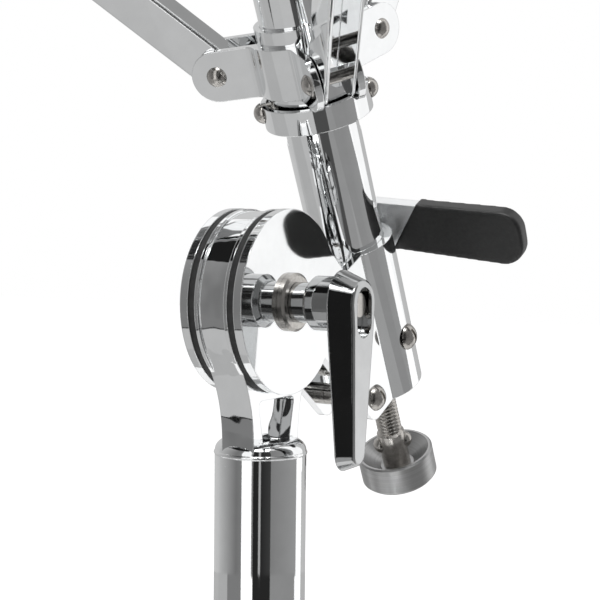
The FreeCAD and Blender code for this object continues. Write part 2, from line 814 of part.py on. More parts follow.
def make_legs():
    lean = value("leg_angle") - 90
    foot_place = "leg_hinge_reach + leg_length * sin(leg_angle)"
    brace_rise = f"({LEG_HINGE} - brace_reach * cos(leg_angle) - {SPIDER_HINGE})"
    brace_run = "(leg_hinge_reach + brace_reach * sin(leg_angle) - spider_reach)"
    brace_length = f"sqrt({brace_rise} ^ 2 + {brace_run} ^ 2)"
    brace_lift = math.degrees(math.atan2(value(brace_rise), value(brace_run)))
    for number, turn_by in enumerate(LEG_TURNS, start=1):
        along_leg = about_z(turn_by) * moved("leg_hinge_reach", LEG_HINGE) * tipped(lean)
        straps = make_strap_pair("leg_strap", "0", holes=True)
        leg = fuse(f"leg_{number}_pieces", straps + make_leg_rivets("leg_rivet"))
        keep(leg, f"leg_{number}", along_leg)
        keep(make_foot(foot_place, lean), f"foot_{number}", about_z(turn_by))
        brace = new_body("brace")
        outline = draw_strap(new_sketch(brace, "XZ_Plane"), "0", brace_length, "brace_width / 2")
        draw_circle(outline, "0", "0", "brace_pin_radius + slide_gap")
        draw_circle(outline, brace_length, "0", "leg_pin_radius")
        pad(brace, outline, "brace_thick", both_ways=True)
        keep(brace, f"brace_{number}",
             about_z(turn_by) * moved("spider_reach", SPIDER_HINGE) * tipped(brace_lift))


def make_foot(foot_place, lean):
    """A rubber boot over the ends of both straps, flat on the floor."""
    half = "(leg_width / 2 + foot_wall)"
    up_run, up_rise = "-sin(leg_angle)", "cos(leg_angle)"
    out_run, out_rise = "cos(leg_angle)", "sin(leg_angle)"

    def spot(along, across):
        run = f"{foot_place} + ({along}) * ({up_run}) + ({across}) * ({out_run})"
        rise = f"foot_rise + ({along}) * ({up_rise}) + ({across}) * ({out_rise})"
        return run, rise

    body = new_body("foot")
    outline = [
        (f"{foot_place} - foot_heel", "0"),
        (f"{foot_place} + foot_toe", "0"),
        spot("-foot_wall * 2", half),
        spot("foot_grip_length", half),
        spot("foot_grip_length", f"-{half}"),
    ]
    pad(body, draw_polygon(new_sketch(body, "XZ_Plane"), outline), f"{LEG_OUTER} + foot_wall * 2",
        both_ways=True)
    soften(body, "foot_round", lambda edge: edge.BoundBox.ZMax > value("foot_rise") or runs_along(edge, 1))
    room = group("foot_room", make_strap_pair("foot_slot", "seat_gap", holes=False))
    room.Placement = moved("leg_hinge_reach", LEG_HINGE) * tipped(lean)
    return cut("boot", body, room)


# Tilter: casting in the tube, friction rings, bolt, washer and lever

CHEEK_IN = "(drum_width / 2 + friction_ring + slide_gap)"
CHEEK_OUT = "(drum_width / 2 + friction_ring + slide_gap + cheek_thick)"


def make_tilter_stem():
    body = new_body("tilter")
    lip = "(drum_radius + drum_lip_rise)"
    band = "(drum_width / 2 - drum_lip_width)"
    turn(body, draw_polygon(new_sketch(body, "XZ_Plane"), [
        ("-drum_width / 2", "0"),
        ("-drum_width / 2", lip),
        (f"-{band}", lip),
        (f"-{band}", "drum_radius"),
        (band, "drum_radius"),
        (band, lip),
        ("drum_width / 2", lip),
        ("drum_width / 2", "0"),
    ]), "H_Axis")
    neck_high = "-(rim_drop - neck_rise)"
    reach = "(drum_radius + neck_sweep)"
    sweep_rise = f"-sqrt({reach} ^ 2 - (neck_half_width + neck_sweep) ^ 2)"
    touch_out = f"drum_radius * (neck_half_width + neck_sweep) / {reach}"
    touch_rise = f"drum_radius * ({sweep_rise}) / {reach}"
    blade = new_sketch(body, "YZ_Plane")
    draw_polygon(blade, [
        ("-neck_half_width", "-rim_drop"),
        ("neck_half_width", "-rim_drop"),
        ("neck_half_width", sweep_rise, "neck_sweep", -1),
        (touch_out, touch_rise),
        (f"-({touch_out})", touch_rise, "neck_sweep", -1),
        ("-neck_half_width", sweep_rise),
    ])
    pad(body, blade, "drum_width", both_ways=True)
    plug = f"({STEM_RADIUS} - tube_wall - seat_gap)"
    turn(body, draw_polygon(new_sketch(body, "XZ_Plane"), [
        ("0", "-rim_drop - plug_length"),
        (plug, "-rim_drop - plug_length"),
        (plug, "-rim_drop"),
        (STEM_RADIUS, "-rim_drop"),
        (STEM_RADIUS, "-rim_drop + shoulder_rim"),
        ("shoulder_top_radius", neck_high),
        ("0", neck_high),
    ]))
    recess = [
        ("-pocket_half_low", "-pocket_low"),
        ("pocket_half_low", "-pocket_low"),
        ("pocket_half_high", "-pocket_high"),
        ("-pocket_half_high", "-pocket_high"),
    ]
    depth = "((drum_width - web_thick) / 2)"
    for side in (1, -1):
        sketch = new_sketch(body, "YZ_Plane", f"{side} * (web_thick / 2 + {depth} / 2)")
        pocket(body, draw_polygon(sketch, recess), depth)
    highest, lowest = -value("pocket_high"), -value("pocket_low")
    widest = value("pocket_half_high")

    def at_pocket_corner(edge):
        middle = edge.CenterOfMass
        level = lowest - SAME_PLACE < middle.z < highest + SAME_PLACE
        return runs_along(edge, 0) and level and abs(middle.y) < widest + SAME_PLACE

    soften(body, "pocket_round", at_pocket_corner)
    pocket(body, draw_circle(new_sketch(body, "YZ_Plane"), "0", "0", "tilter_bolt_radius + slide_gap"),
           "drum_width + cut_over")
    keep(body, "tilter_stem", at_pivot)
    rings = []
    for side in (1, -1):
        inner, outer = f"{side} * drum_width / 2", f"{side} * (drum_width / 2 + friction_ring)"
        rings.append(cross_turned_body("ring", [
            (inner, "tilter_bolt_radius + fit_gap"),
            (inner, "friction_radius"),
            (outer, "friction_radius"),
            (outer, "tilter_bolt_radius + fit_gap"),
        ]))
    keep(group("ring_pair", rings), "friction_rings", at_pivot)


LEVER_IN = f"({CHEEK_OUT} + washer_length + lever_neck_length + lever_boss_length)"
LEVER_OUT = f"({LEVER_IN} + lever_top_thick)"
BOLT_END = f"({LEVER_OUT} - lever_recess_depth)"


def make_lever():
    bolt = cross_turned_body("bolt", [
        (f"-{CHEEK_OUT} - bolt_head_rise", "0", dome_radius("bolt_head_radius", "bolt_head_rise"), -1),
        (f"-{CHEEK_OUT}", "bolt_head_radius"),
        (f"-{CHEEK_OUT}", "tilter_bolt_radius"),
        (f"{BOLT_END} - fit_gap", "tilter_bolt_radius"),
        (f"{BOLT_END} - fit_gap", "bolt_end_radius"),
        (f"{BOLT_END} + lever_recess_depth / 2", "bolt_end_radius"),
        (f"{BOLT_END} + lever_recess_depth / 2", "0"),
    ])
    keep(bolt, "tilter_bolt", at_pivot)
    seat = f"({CHEEK_OUT} + seat_gap)"
    washer_tip = f"({CHEEK_OUT} + washer_length)"
    step_share = 0.7
    keep(cross_turned_body("washer", [
        (seat, "tilter_bolt_radius + seat_gap"),
        (seat, "washer_base_radius"),
        (f"{seat} + washer_length * {step_share}", "washer_base_radius"),
        (washer_tip, "washer_tip_radius"),
        (washer_tip, "tilter_bolt_radius + seat_gap"),
    ]), "lever_washer", at_pivot)
    body = new_body("lever")
    outline = new_sketch(body, "YZ_Plane", LEVER_OUT)
    draw_strap(outline, "-lever_top_rise", "lever_length", "lever_top_radius", "lever_tip_radius",
               downward=True)
    blade = pad(body, outline, "lever_top_thick", backwards=True)
    bind(blade, "TaperAngle", "lever_draft")
    low = "-lever_length - lever_tip_radius - lever_top_thick"
    shoulder = "-lever_top_radius"
    tip_back = f"({LEVER_IN} + lever_tip_step)"
    for side, near, far in ((f"{LEVER_IN} - cut_over", LEVER_IN, tip_back),
                            (f"{LEVER_OUT} + cut_over", LEVER_OUT, f"{tip_back} + lever_tip_thick")):
        thinning = [(side, shoulder), (near, shoulder), (far, low), (side, low)]
        pocket(body, draw_polygon(new_sketch(body, "XZ_Plane"), thinning), "lever_top_thick * 6")

    half_way = value(f"({LEVER_IN} + {LEVER_OUT}) / 2")

    def on_front_rim(edge):
        if runs_along(edge, 1) or edge.BoundBox.XLength > value("lever_tip_thick"):
            return False
        return edge.CenterOfMass.x > half_way

    soften(body, "lever_edge_round", on_front_rim)
    turn(body, draw_polygon(new_sketch(body, "XZ_Plane"), [
        (f"{washer_tip} + fit_gap / 2", "0"),
        (f"{washer_tip} + fit_gap / 2", "lever_neck_radius"),
        (f"{washer_tip} + lever_neck_length", "lever_neck_radius"),
        (f"{washer_tip} + lever_neck_length", "lever_boss_radius - lever_boss_chamfer"),
        (f"{washer_tip} + lever_neck_length + lever_boss_chamfer", "lever_boss_radius"),
        (f"{LEVER_IN} + lever_edge_round", "lever_boss_radius"),
        (f"{LEVER_IN} + lever_edge_round", "0"),
    ]), "H_Axis")
    bore = draw_circle(new_sketch(body, "YZ_Plane"), "0", "0", "tilter_bolt_radius + slide_gap")
    pocket(body, bore, BOLT_END, both_ways=False, backwards=True)
    recess = new_sketch(body, "YZ_Plane", f"{LEVER_OUT} + cut_over")
    draw_strap(recess, "-lever_recess_rise", "lever_recess_run - lever_recess_rise", "lever_recess_radius",
               downward=True)
    pocket(body, recess, "lever_recess_depth + cut_over", both_ways=False)
    keep(body, "tilt_lever", at_pivot)


# Bracket and tube of the basket, in the tilted frame with Z along the tube

TUBE_RADIUS = "basket_tube_od / 2"
TUBE_BORE = "(basket_tube_od / 2 - tube_wall)"
WRAP_RADIUS = "(basket_tube_od / 2 + seat_gap + wrap_thick)"


def make_bracket():
    body = new_body("bracket")
    width = f"({CHEEK_OUT} * 2)"
    pad(body, draw_circle(new_sketch(body, "YZ_Plane"), "0", "0", "cheek_radius"), width, both_ways=True)
    upper_share, lower_run_share, lower_drop_share = 0.3, 0.36, 0.9
    lobe = [
        (f"cheek_radius * {upper_share}", f"-cheek_radius * {lower_run_share}"),
        (f"cheek_radius * {lower_run_share}", f"-cheek_radius * {lower_drop_share}"),
        ("lobe_reach", "wrap_low"),
        ("tube_offset", "wrap_low"),
        ("tube_offset", "wrap_high"),
        ("notch_reach", "wrap_high"),
        (f"cheek_radius * {lower_drop_share}", f"cheek_radius * {upper_share}"),
    ]
    pad(body, draw_polygon(new_sketch(body, "YZ_Plane"), lobe), width, both_ways=True)
    corner = Vector(0, value("lobe_reach"), value("wrap_low"))

    def at_corner(edge):
        middle = edge.CenterOfMass
        return runs_along(edge, 0) and math.hypot(middle.y - corner.y, middle.z - corner.z) < SAME_PLACE

    soften(body, "lobe_round", at_corner)
    wrap = draw_circle(new_sketch(body, "XY_Plane", "wrap_low"), "0", "tube_offset", WRAP_RADIUS)
    pad(body, wrap, "wrap_high - wrap_low")
    inside = [
        ("-cheek_radius - cut_over", "wrap_low - cut_over"),
        ("tube_offset", "wrap_low - cut_over"),
        ("tube_offset", "cheek_radius + cut_over"),
        ("-cheek_radius - cut_over", "cheek_radius + cut_over"),
    ]
    pocket(body, draw_polygon(new_sketch(body, "YZ_Plane"), inside), f"{CHEEK_IN} * 2")
    middle = "(wrap_low + wrap_high) / 2"
    tube_room = draw_circle(new_sketch(body, "XY_Plane", middle), "0", "tube_offset",
                            f"{TUBE_RADIUS} + seat_gap")
    pocket(body, tube_room, "wrap_high - wrap_low + cut_over")
    pocket(body, draw_circle(new_sketch(body, "YZ_Plane"), "0", "0", "tilter_bolt_radius + seat_gap"),
           f"{width} + cut_over")
    pocket(body, draw_circle(new_sketch(body, "YZ_Plane"), "bracket_screw_reach", "bracket_screw_place",
                             "bracket_screw_radius + seat_gap"), f"{width} + cut_over")
    pocket(body, draw_circle(new_sketch(body, "YZ_Plane"), "tube_offset", "nut_screw_place",
                             "nut_screw_radius + seat_gap"), f"{WRAP_RADIUS} * 2 + cut_over")
    bar_hole = draw_circle(new_sketch(body, "XZ_Plane", "-tube_offset"), "0", "bar_screw_place",
                           "bracket_screw_radius + seat_gap")
    pocket(body, bar_hole, f"{WRAP_RADIUS} + cut_over", both_ways=False)
    keep(body, "basket_bracket", basket)


def slotted_head(name, radius, rise, shank_radius, seat, tip):
    """A screw along X with a domed, slotted head; the head sits at seat and the shank ends at tip."""
    body = cross_turned_body(name, [
        (tip, "0"),
        (tip, shank_radius),
        (seat, shank_radius),
        (seat, radius, dome_radius(radius, rise), -1),
        (f"{seat} + {rise}", "0"),
    ])
    slot = [
        ("-screw_slot / 2", f"-{radius} - cut_over"),
        ("screw_slot / 2", f"-{radius} - cut_over"),
        ("screw_slot / 2", f"{radius} + cut_over"),
        ("-screw_slot / 2", f"{radius} + cut_over"),
    ]
    pocket(body, draw_polygon(new_sketch(body, "YZ_Plane", f"{seat} + {rise}"), slot), "screw_slot * 2")
    return body


def make_bracket_screws():
    screw_spot = Vector(0, value("bracket_screw_reach"), value("bracket_screw_place"))
    at_screw = basket * Placement(screw_spot, Rotation())
    rear = f"(-{CHEEK_OUT} - seat_gap)"
    screw = slotted_head("lobe_screw", "bracket_head_radius", "bracket_head_rise", "bracket_screw_radius",
                         f"({CHEEK_OUT} + seat_gap)", f"{rear} - bracket_head_rise / 2")
    nut = cross_turned_body("lobe_nut", [
        (rear, "bracket_screw_radius + seat_gap"),
        (rear, "bracket_head_radius"),
        (f"{rear} - bracket_head_rise", "bracket_head_radius"),
        (f"{rear} - bracket_head_rise", "bracket_screw_radius + seat_gap"),
    ])
    keep(group("lobe_fastening", [screw, nut]), "bracket_screw", at_screw)
    keep(cross_turned_body("spacer", [
        (f"-{CHEEK_IN} + seat_gap", "bracket_screw_radius + seat_gap"),
        (f"-{CHEEK_IN} + seat_gap", "spacer_radius"),
        (f"{CHEEK_IN} - seat_gap", "spacer_radius"),
        (f"{CHEEK_IN} - seat_gap", "bracket_screw_radius + seat_gap"),
    ]), "bracket_spacer", at_screw)
    at_nut = tube_axis * Placement(Vector(0, 0, value("nut_screw_place")), Rotation())
    seat = f"({WRAP_RADIUS} + seat_gap)"
    pair = []
    for turn_by in (0, 180):
        one = slotted_head("nut_screw", "nut_screw_head", "nut_screw_rise", "nut_screw_radius",
                           seat, "nut_screw_tip")
        one.Placement = about_z(turn_by)
        pair.append(one)
    keep(group("nut_screw_pair", pair), "adjuster_nut_screws", at_nut)


def make_basket_tube():
    body = turned_body("tube", tube_profile(TUBE_BORE, TUBE_RADIUS, "basket_tube_low", "basket_tube_high"))
    half = "(cross_pin_radius + fit_gap)"
    slot = [
        (f"-{half}", f"cross_pin_place - slide_down - {half}"),
        (half, f"cross_pin_place - slide_down - {half}"),
        (half, f"cross_pin_place + slide_up + {half}"),
        (f"-{half}", f"cross_pin_place + slide_up + {half}"),
    ]
    pocket(body, draw_polygon(new_sketch(body, "YZ_Plane"), slot), "basket_tube_od + cut_over")
    body.Placement = about_z(value("pin_angle"))
    hole = cylinder("nut_screw_hole", "nut_screw_radius + seat_gap", "basket_tube_od + cut_over",
                    (f"-{TUBE_RADIUS} - cut_over / 2", "0", "nut_screw_place"), ALONG_X)
    keep(cut("tube_drilled", body, hole), "basket_tube", tube_axis)
    block = turned_body("nut_block", tube_profile("rod_radius + slide_gap", f"{TUBE_BORE} - seat_gap",
                                                  "basket_tube_low", "nut_high"))
    tap = draw_circle(new_sketch(block, "YZ_Plane"), "0", "nut_screw_place", "nut_screw_radius + seat_gap")
    pocket(block, tap, "basket_tube_od")
    keep(block, "adjuster_nut", tube_axis)


def make_grip_bar():
    near = f"({WRAP_RADIUS} + seat_gap)"
    right = "(bar_left + bar_length)"
    outline = [
        ("bar_left", "bar_left_low"),
        (right, "bar_right_low"),
        (right, "bar_right_top"),
        ("bar_left", "bar_left_top"),
    ]
    body = new_body("bar")
    middle = f"-({near} + bar_thick / 2)"
    pad(body, draw_polygon(new_sketch(body, "XZ_Plane", middle), outline), "bar_thick", both_ways=True)
    soften(body, "bar_end_round", lambda edge: runs_along(edge, 1))
    hole = draw_circle(new_sketch(body, "XZ_Plane", middle), "0", "bar_screw_place",
                       "bracket_screw_radius + seat_gap")
    pocket(body, hole, "bar_thick + cut_over")
    keep(body, "grip_bar", tube_axis)
    wall = "(sleeve_wall + seat_gap)"
    sleeve = new_body("sleeve")
    low_share = "(sleeve_low_start - bar_left) / bar_length"
    top_share = "(sleeve_top_start - bar_left) / bar_length"
    cover = [
        ("sleeve_low_start", f"bar_left_low + (bar_right_low - bar_left_low) * {low_share} - {wall}"),
        (f"{right} + {wall}", f"bar_right_low - {wall}"),
        (f"{right} + {wall}", f"bar_right_top + {wall}"),
        ("sleeve_top_start", f"bar_left_top + (bar_right_top - bar_left_top) * {top_share} + {wall}"),
    ]
    pad(sleeve, draw_polygon(new_sketch(sleeve, "XZ_Plane", middle), cover),
        f"bar_thick + {wall} * 2", both_ways=True)
    edge_x = value(right)
    soften(sleeve, f"bar_end_round + {wall}",
           lambda edge: runs_along(edge, 1) and edge.BoundBox.XMin > edge_x)

    def on_sleeve_rim(edge):
        return edge.BoundBox.YLength < SAME_PLACE and edge.BoundBox.XLength > value(wall)

    edge_share = 0.8
    soften(sleeve, f"sleeve_wall * {edge_share}", on_sleeve_rim)
    room = new_body("sleeve_room")
    gap = "seat_gap"
    pad(room, draw_polygon(new_sketch(room, "XZ_Plane", middle), [
        ("bar_left", f"bar_left_low - {gap}"),
        (f"{right} + {gap}", f"bar_right_low - {gap}"),
        (f"{right} + {gap}", f"bar_right_top + {gap}"),
        ("bar_left", f"bar_left_top + {gap}"),
    ]), f"bar_thick + {gap} * 2", both_ways=True)
    soften(room, "bar_end_round", lambda edge: runs_along(edge, 1) and edge.BoundBox.XMin > edge_x)
    keep(cut("sleeve_hollow", sleeve, room), "grip_sleeve", tube_axis)
    screw = slotted_head("bar_screw", "bracket_head_radius", "bracket_head_rise", "bracket_screw_radius",
                         f"({near} + bar_thick + seat_gap)", f"{TUBE_RADIUS} + seat_gap")
    at_bar = Placement(Vector(0, 0, value("bar_screw_place")), Rotation(ALONG_Z, 90))
    keep(screw, "grip_bar_screw", tube_axis * at_bar)


# Adjuster and carriage, about the tube's own axis

def make_adjuster():
    knob_top = "(knob_low + knob_height)"
    dish = f"({knob_top} - knob_dish)"
    rod_low = "(knob_low + knob_edge * 2)"
    rod = turned_body("rod", [
        ("0", rod_low),
        ("rod_radius", rod_low),
        ("rod_radius", dish),
        ("rod_smooth_radius", dish),
        ("rod_smooth_radius", "rod_smooth_high"),
        ("rod_radius", "rod_smooth_high + rod_radius - rod_smooth_radius + knob_edge"),
        ("rod_radius", "slide_block_low + rod_seat_depth - fit_gap"),
        ("0", "slide_block_low + rod_seat_depth - fit_gap"),
    ])
    hole = cylinder("adjuster_pin_hole", "adjuster_pin_radius + seat_gap",
                    "rod_smooth_radius * 2 + cut_over",
                    ("-rod_smooth_radius - cut_over / 2", "0", "adjuster_pin_place"), ALONG_X)
    hole.Placement = about_z(value("pin_angle")) * hole.Placement
    keep(cut("rod_drilled", rod, hole), "adjuster_rod", tube_axis)
    rim = "(knob_radius - knob_rim)"
    bore = "(rod_radius + seat_gap)"
    keep(turned_body("knob", [
        ("0", "knob_low"),
        ("knob_radius - knob_edge", "knob_low"),
        ("knob_radius", "knob_low + knob_edge"),
        ("knob_radius", f"{knob_top} - knob_edge / 2"),
        ("knob_radius - knob_edge / 2", knob_top),
        (rim, knob_top),
        ("(rod_smooth_radius + knob_edge)", dish),
        (bore, dish),
        (bore, f"{rod_low} - seat_gap"),
        ("0", f"{rod_low} - seat_gap"),
    ]), "adjuster_knob", tube_axis)
    dome = dome_radius("adjuster_pin_radius", "adjuster_pin_dome")
    straight = "(adjuster_pin_half - adjuster_pin_dome)"
    pin = cross_turned_body("rod_pin", [
        ("-adjuster_pin_half", "0", dome, -1),
        (f"-{straight}", "adjuster_pin_radius"),
        (straight, "adjuster_pin_radius", dome, -1),
        ("adjuster_pin_half", "0"),
    ])
    at_pin = Placement(Vector(0, 0, value("adjuster_pin_place")), Rotation(ALONG_Z, value("pin_angle")))
    keep(pin, "adjuster_pin", tube_axis * at_pin)


def make_carriage():
    along_pin = tube_axis * about_z(value("pin_angle"))
    block_high = "(slide_block_low + slide_block_length)"
    block = turned_body("block", [
        ("0", "slide_block_low + rod_seat_depth"),
        ("rod_radius + slide_gap", "slide_block_low + rod_seat_depth"),
        ("rod_radius + slide_gap", "slide_block_low"),
        (f"{TUBE_BORE} - slide_gap", "slide_block_low"),
        (f"{TUBE_BORE} - slide_gap", block_high),
        ("0", block_high),
    ])
    pin_hole = "cross_pin_radius + seat_gap"
    across = draw_circle(new_sketch(block, "YZ_Plane"), "0", "cross_pin_place", pin_hole)
    pocket(block, across, "basket_tube_od")
    keep(block, "slide_block", along_pin)
    bore = f"({TUBE_RADIUS} + slide_gap)"
    floor = "(collar_low + collar_floor)"
    rim_top = "(collar_low + collar_height)"
    collar = turned_body("collar", [
        (bore, "collar_low"),
        ("collar_radius", "collar_low"),
        ("collar_radius", rim_top),
        ("collar_radius - collar_rim", rim_top),
        ("collar_radius - collar_rim", floor),
        ("sleeve_outer", floor),
        ("sleeve_outer", "sleeve_high"),
        (bore, "sleeve_high"),
    ])
    pocket(collar, draw_circle(new_sketch(collar, "YZ_Plane"), "0", "cross_pin_place", pin_hole),
           "collar_radius * 2 + cut_over")
    keep(collar, "slide_collar", along_pin)
    seat = "(collar_radius + seat_gap)"
    dome = dome_radius("cross_pin_head", "cross_pin_rise")
    pin = cross_turned_body("pin", [
        (f"-{seat} - cross_pin_rise", "0", dome, -1),
        (f"-{seat}", "cross_pin_head"),
        (f"-{seat}", "cross_pin_radius"),
        (seat, "cross_pin_radius"),
        (seat, "cross_pin_head", dome, -1),
        (f"{seat} + cross_pin_rise", "0"),
    ])
    at_pin = Placement(Vector(0, 0, value("cross_pin_place")), Rotation())
    keep(pin, "cross_pin", along_pin * at_pin)


def make_link_hub():
    body = new_body("hub")
    inner = "(sleeve_outer + seat_gap)"
    outer = "(sleeve_outer + seat_gap + strip_thick)"
    low, high = "(link_place - ear_height / 2)", "(link_place + ear_height / 2)"
    turn(body, draw_polygon(new_sketch(body, "XZ_Plane"), tube_profile(inner, outer, low, high)))
    features = []
    for side in (1, -1):
        offset = f"{side} * (clevis_gap / 2 + strip_thick / 2)"
        sheet_part = draw_polygon(new_sketch(body, "XZ_Plane", offset), [
            (inner, low),
            ("link_reach", low),
            ("link_reach", high),
            (inner, high),
        ])
        features.append(pad(body, sheet_part, "strip_thick", both_ways=True))
        nose = draw_circle(new_sketch(body, "XZ_Plane", offset), "link_reach", "link_place",
                           "ear_height / 2")
        features.append(pad(body, nose, "strip_thick", both_ways=True))
    doc.recompute()
    repeat_thrice(body, features)
    ring_radius = value(outer)

    def at_bend(edge):
        middle = edge.CenterOfMass
        return runs_along(edge, 2) and abs(math.hypot(middle.x, middle.y) - ring_radius) < SAME_PLACE

    soften(body, "strip_bend", at_bend)
    tools = []
    for turn_by in (0, 120, 240):
        hole = cylinder("rivet_hole", "rivet_radius + seat_gap", "clevis_gap + strip_thick * 2 + cut_over",
                        ("link_reach", "-clevis_gap / 2 - strip_thick - cut_over / 2", "link_place"), ALONG_Y)
        gap = doc.addObject("Part::Box", "clevis_room")
        bind(gap, "Length", "link_reach * 2")
        bind(gap, "Width", "clevis_gap")
        bind(gap, "Height", "ear_height + cut_over")
        gap.Placement.Base = Vector(0, value("-clevis_gap / 2"), value(f"{low} - cut_over / 2"))
        for tool in (hole, gap):
            tool.Placement = about_z(turn_by) * tool.Placement
            tools.append(tool)
    core = cylinder("sleeve_room_core", inner, "ear_height + cut_over",
                    ("0", "0", f"{low} - cut_over / 2"), ALONG_Z)
    tools.append(core)
    keep(cut("hub_strips", body, fuse("hub_tools", tools)), "link_hub", tube_axis * about_z(HUB_TURNS[0]))
    keep(pin_ring("link_rivet", "link_reach", "link_place", "(clevis_gap + strip_thick * 2)", "rivet_radius",
                  "rivet_head", "rivet_rise", "seat_gap", HUB_TURNS), "link_rivets", tube_axis)


def make_links():
    width = "(clevis_gap - fit_gap * 2)"
    web_under = "(link_height / 2 - link_wall)"
    for number, turn_by in enumerate(HUB_TURNS, start=1):
        body = new_body("link")
        pad(body, draw_strap(new_sketch(body, "XZ_Plane"), "0", "link_length", "link_height / 2"),
            width, both_ways=True)
        top = value("link_height / 2")
        soften(body, "link_edge_round",
               lambda edge: edge.BoundBox.ZMin > top - SAME_PLACE and runs_along(edge, 0))
        channel = [
            ("-link_height", "-link_height"),
            ("link_length + link_height", "-link_height"),
            ("link_length + link_height", web_under),
            ("-link_height", web_under),
        ]
        pocket(body, draw_polygon(new_sketch(body, "XZ_Plane"), channel), f"{width} - link_wall * 2")
        holes = draw_circle(new_sketch(body, "XZ_Plane"), "0", "0", "rivet_radius + slide_gap")
        draw_circle(holes, "link_length", "0", "rivet_radius")
        pocket(body, holes, f"{width} + cut_over")
        place = moved("link_reach", "link_place") * tipped(value("link_angle"))
        keep(body, f"link_{number}", tube_axis * about_z(turn_by) * place)


ARM_PLACE = "(link_place + link_length * sin(link_angle))"
ARM_OUTER = "(clevis_gap + arm_wall * 2)"
ARM_LINK_REACH = "(link_reach + link_length * cos(link_angle) - arm_reach)"


def make_top_hub():
    body = new_body("top")
    high = "(hub_cap_low + hub_cap_height)"
    spigot = f"({TUBE_BORE} - seat_gap)"
    turn(body, draw_polygon(new_sketch(body, "XZ_Plane"), [
        ("0", "hub_cap_low - hub_spigot"),
        (spigot, "hub_cap_low - hub_spigot"),
        (spigot, "hub_cap_low"),
        ("hub_cap_radius", "hub_cap_low"),
        ("hub_cap_radius", f"{high} - hub_cap_dome"),
        ("hub_cap_radius - hub_cap_dome", high),
        ("0", high),
    ]))
    lug = draw_polygon(new_sketch(body, "XZ_Plane"), [
        ("0", f"{ARM_PLACE} - hub_lug_radius"),
        ("arm_reach", f"{ARM_PLACE} - hub_lug_radius"),
        ("arm_reach", f"{ARM_PLACE} + hub_lug_radius"),
        ("0", f"{ARM_PLACE} + hub_lug_radius"),
    ])
    features = [pad(body, lug, "clevis_gap - fit_gap * 2", both_ways=True)]
    nose = draw_circle(new_sketch(body, "XZ_Plane"), "arm_reach", ARM_PLACE, "hub_lug_radius")
    features.append(pad(body, nose, "clevis_gap - fit_gap * 2", both_ways=True))
    doc.recompute()
    repeat_thrice(body, features)
    holes = []
    for turn_by in (0, 120, 240):
        hole = cylinder("top_pin_hole", "top_pin_radius + seat_gap", f"{ARM_OUTER} + cut_over",
                        ("arm_reach", f"-{ARM_OUTER} / 2 - cut_over / 2", ARM_PLACE), ALONG_Y)
        hole.Placement = about_z(turn_by) * hole.Placement
        holes.append(hole)
    keep(cut("top_drilled", body, fuse("top_holes", holes)), "top_hub", tube_axis * about_z(HUB_TURNS[0]))
    keep(pin_ring("top_pin", "arm_reach", ARM_PLACE, ARM_OUTER, "top_pin_radius", "top_pin_head",
                  "top_pin_cap", "fit_gap", HUB_TURNS), "top_hub_rivets", tube_axis)


def make_arms():
    web_under = "(arm_above - arm_wall)"
    for number, turn_by in enumerate(HUB_TURNS, start=1):
        body = new_body("arm")
        pad(body, draw_polygon(new_sketch(body, "XZ_Plane"), [
            ("0", "-arm_below"),
            ("arm_length", "-arm_below"),
            ("arm_length", "arm_above"),
            ("arm_web_start", "arm_above"),
            ("0", "arm_below"),
        ]), ARM_OUTER, both_ways=True)
        knuckle = draw_circle(new_sketch(body, "XZ_Plane"), "0", "0", "arm_below")
        pad(body, knuckle, ARM_OUTER, both_ways=True)
        top = value("arm_above")
        soften(body, "arm_edge_round",
               lambda edge: edge.BoundBox.ZMin > top - SAME_PLACE and runs_along(edge, 0))
        pocket(body, draw_polygon(new_sketch(body, "XZ_Plane"), [
            ("-arm_above", "-arm_above"),
            ("arm_length + cut_over", "-arm_above"),
            ("arm_length + cut_over", web_under),
            ("arm_web_start", web_under),
            ("arm_web_start", "arm_above + cut_over"),
            ("-arm_above", "arm_above + cut_over"),
        ]), "clevis_gap")
        pocket(body, draw_circle(new_sketch(body, "XZ_Plane"), "0", "0", "top_pin_radius + slide_gap"),
               f"{ARM_OUTER} + cut_over")
        heads = []
        for side in (1, -1):
            outer = f"{side} * {ARM_OUTER} / 2"
            head = new_body("arm_rivet")
            turn(head, draw_polygon(new_sketch(head, "XY_Plane"), [
                ("0", outer),
                ("top_pin_head", outer, dome_radius("top_pin_head", "top_pin_cap"), side),
                ("0", f"{outer} + {side} * top_pin_cap"),
            ]))
            head.Placement = moved(ARM_LINK_REACH, "0")
            heads.append(head)
        place = tube_axis * about_z(turn_by) * moved("arm_reach", ARM_PLACE)
        keep(fuse(f"arm_{number}_pieces", [body] + heads), f"arm_{number}", place)
        keep(make_grip(), f"arm_grip_{number}", place)


def make_grip():
    """A rubber boot on the arm's end, with a hook that holds the drum's rim."""
    body = new_body("grip")
    top = "(arm_above + grip_wall)"
    end = "(arm_length + grip_end)"
    hook_in = f"({end} - grip_hook_thick)"
    lean_share = 0.35
    pad(body, draw_polygon(new_sketch(body, "XZ_Plane"), [
        ("grip_start", "-arm_below - grip_wall"),
        (end, "-arm_below - grip_wall"),
        (end, f"{top} + grip_hook_rise"),
        (f"{hook_in} - grip_hook_thick * {lean_share}", f"{top} + grip_hook_rise"),
        (hook_in, top),
        ("grip_start", top),
    ]), f"{ARM_OUTER} + grip_wall * 2", both_ways=True)
    soften(body, "grip_round", lambda edge: True)
    room = doc.addObject("Part::Box", "grip_room")
    bind(room, "Length", "arm_length + seat_gap")
    bind(room, "Width", f"{ARM_OUTER} + seat_gap * 2")
    bind(room, "Height", "arm_above + arm_below + seat_gap * 2")
    room.Placement.Base = Vector(0, value(f"-{ARM_OUTER} / 2 - seat_gap"), value("-arm_below - seat_gap"))
    return cut("grip_hollow", body, room)


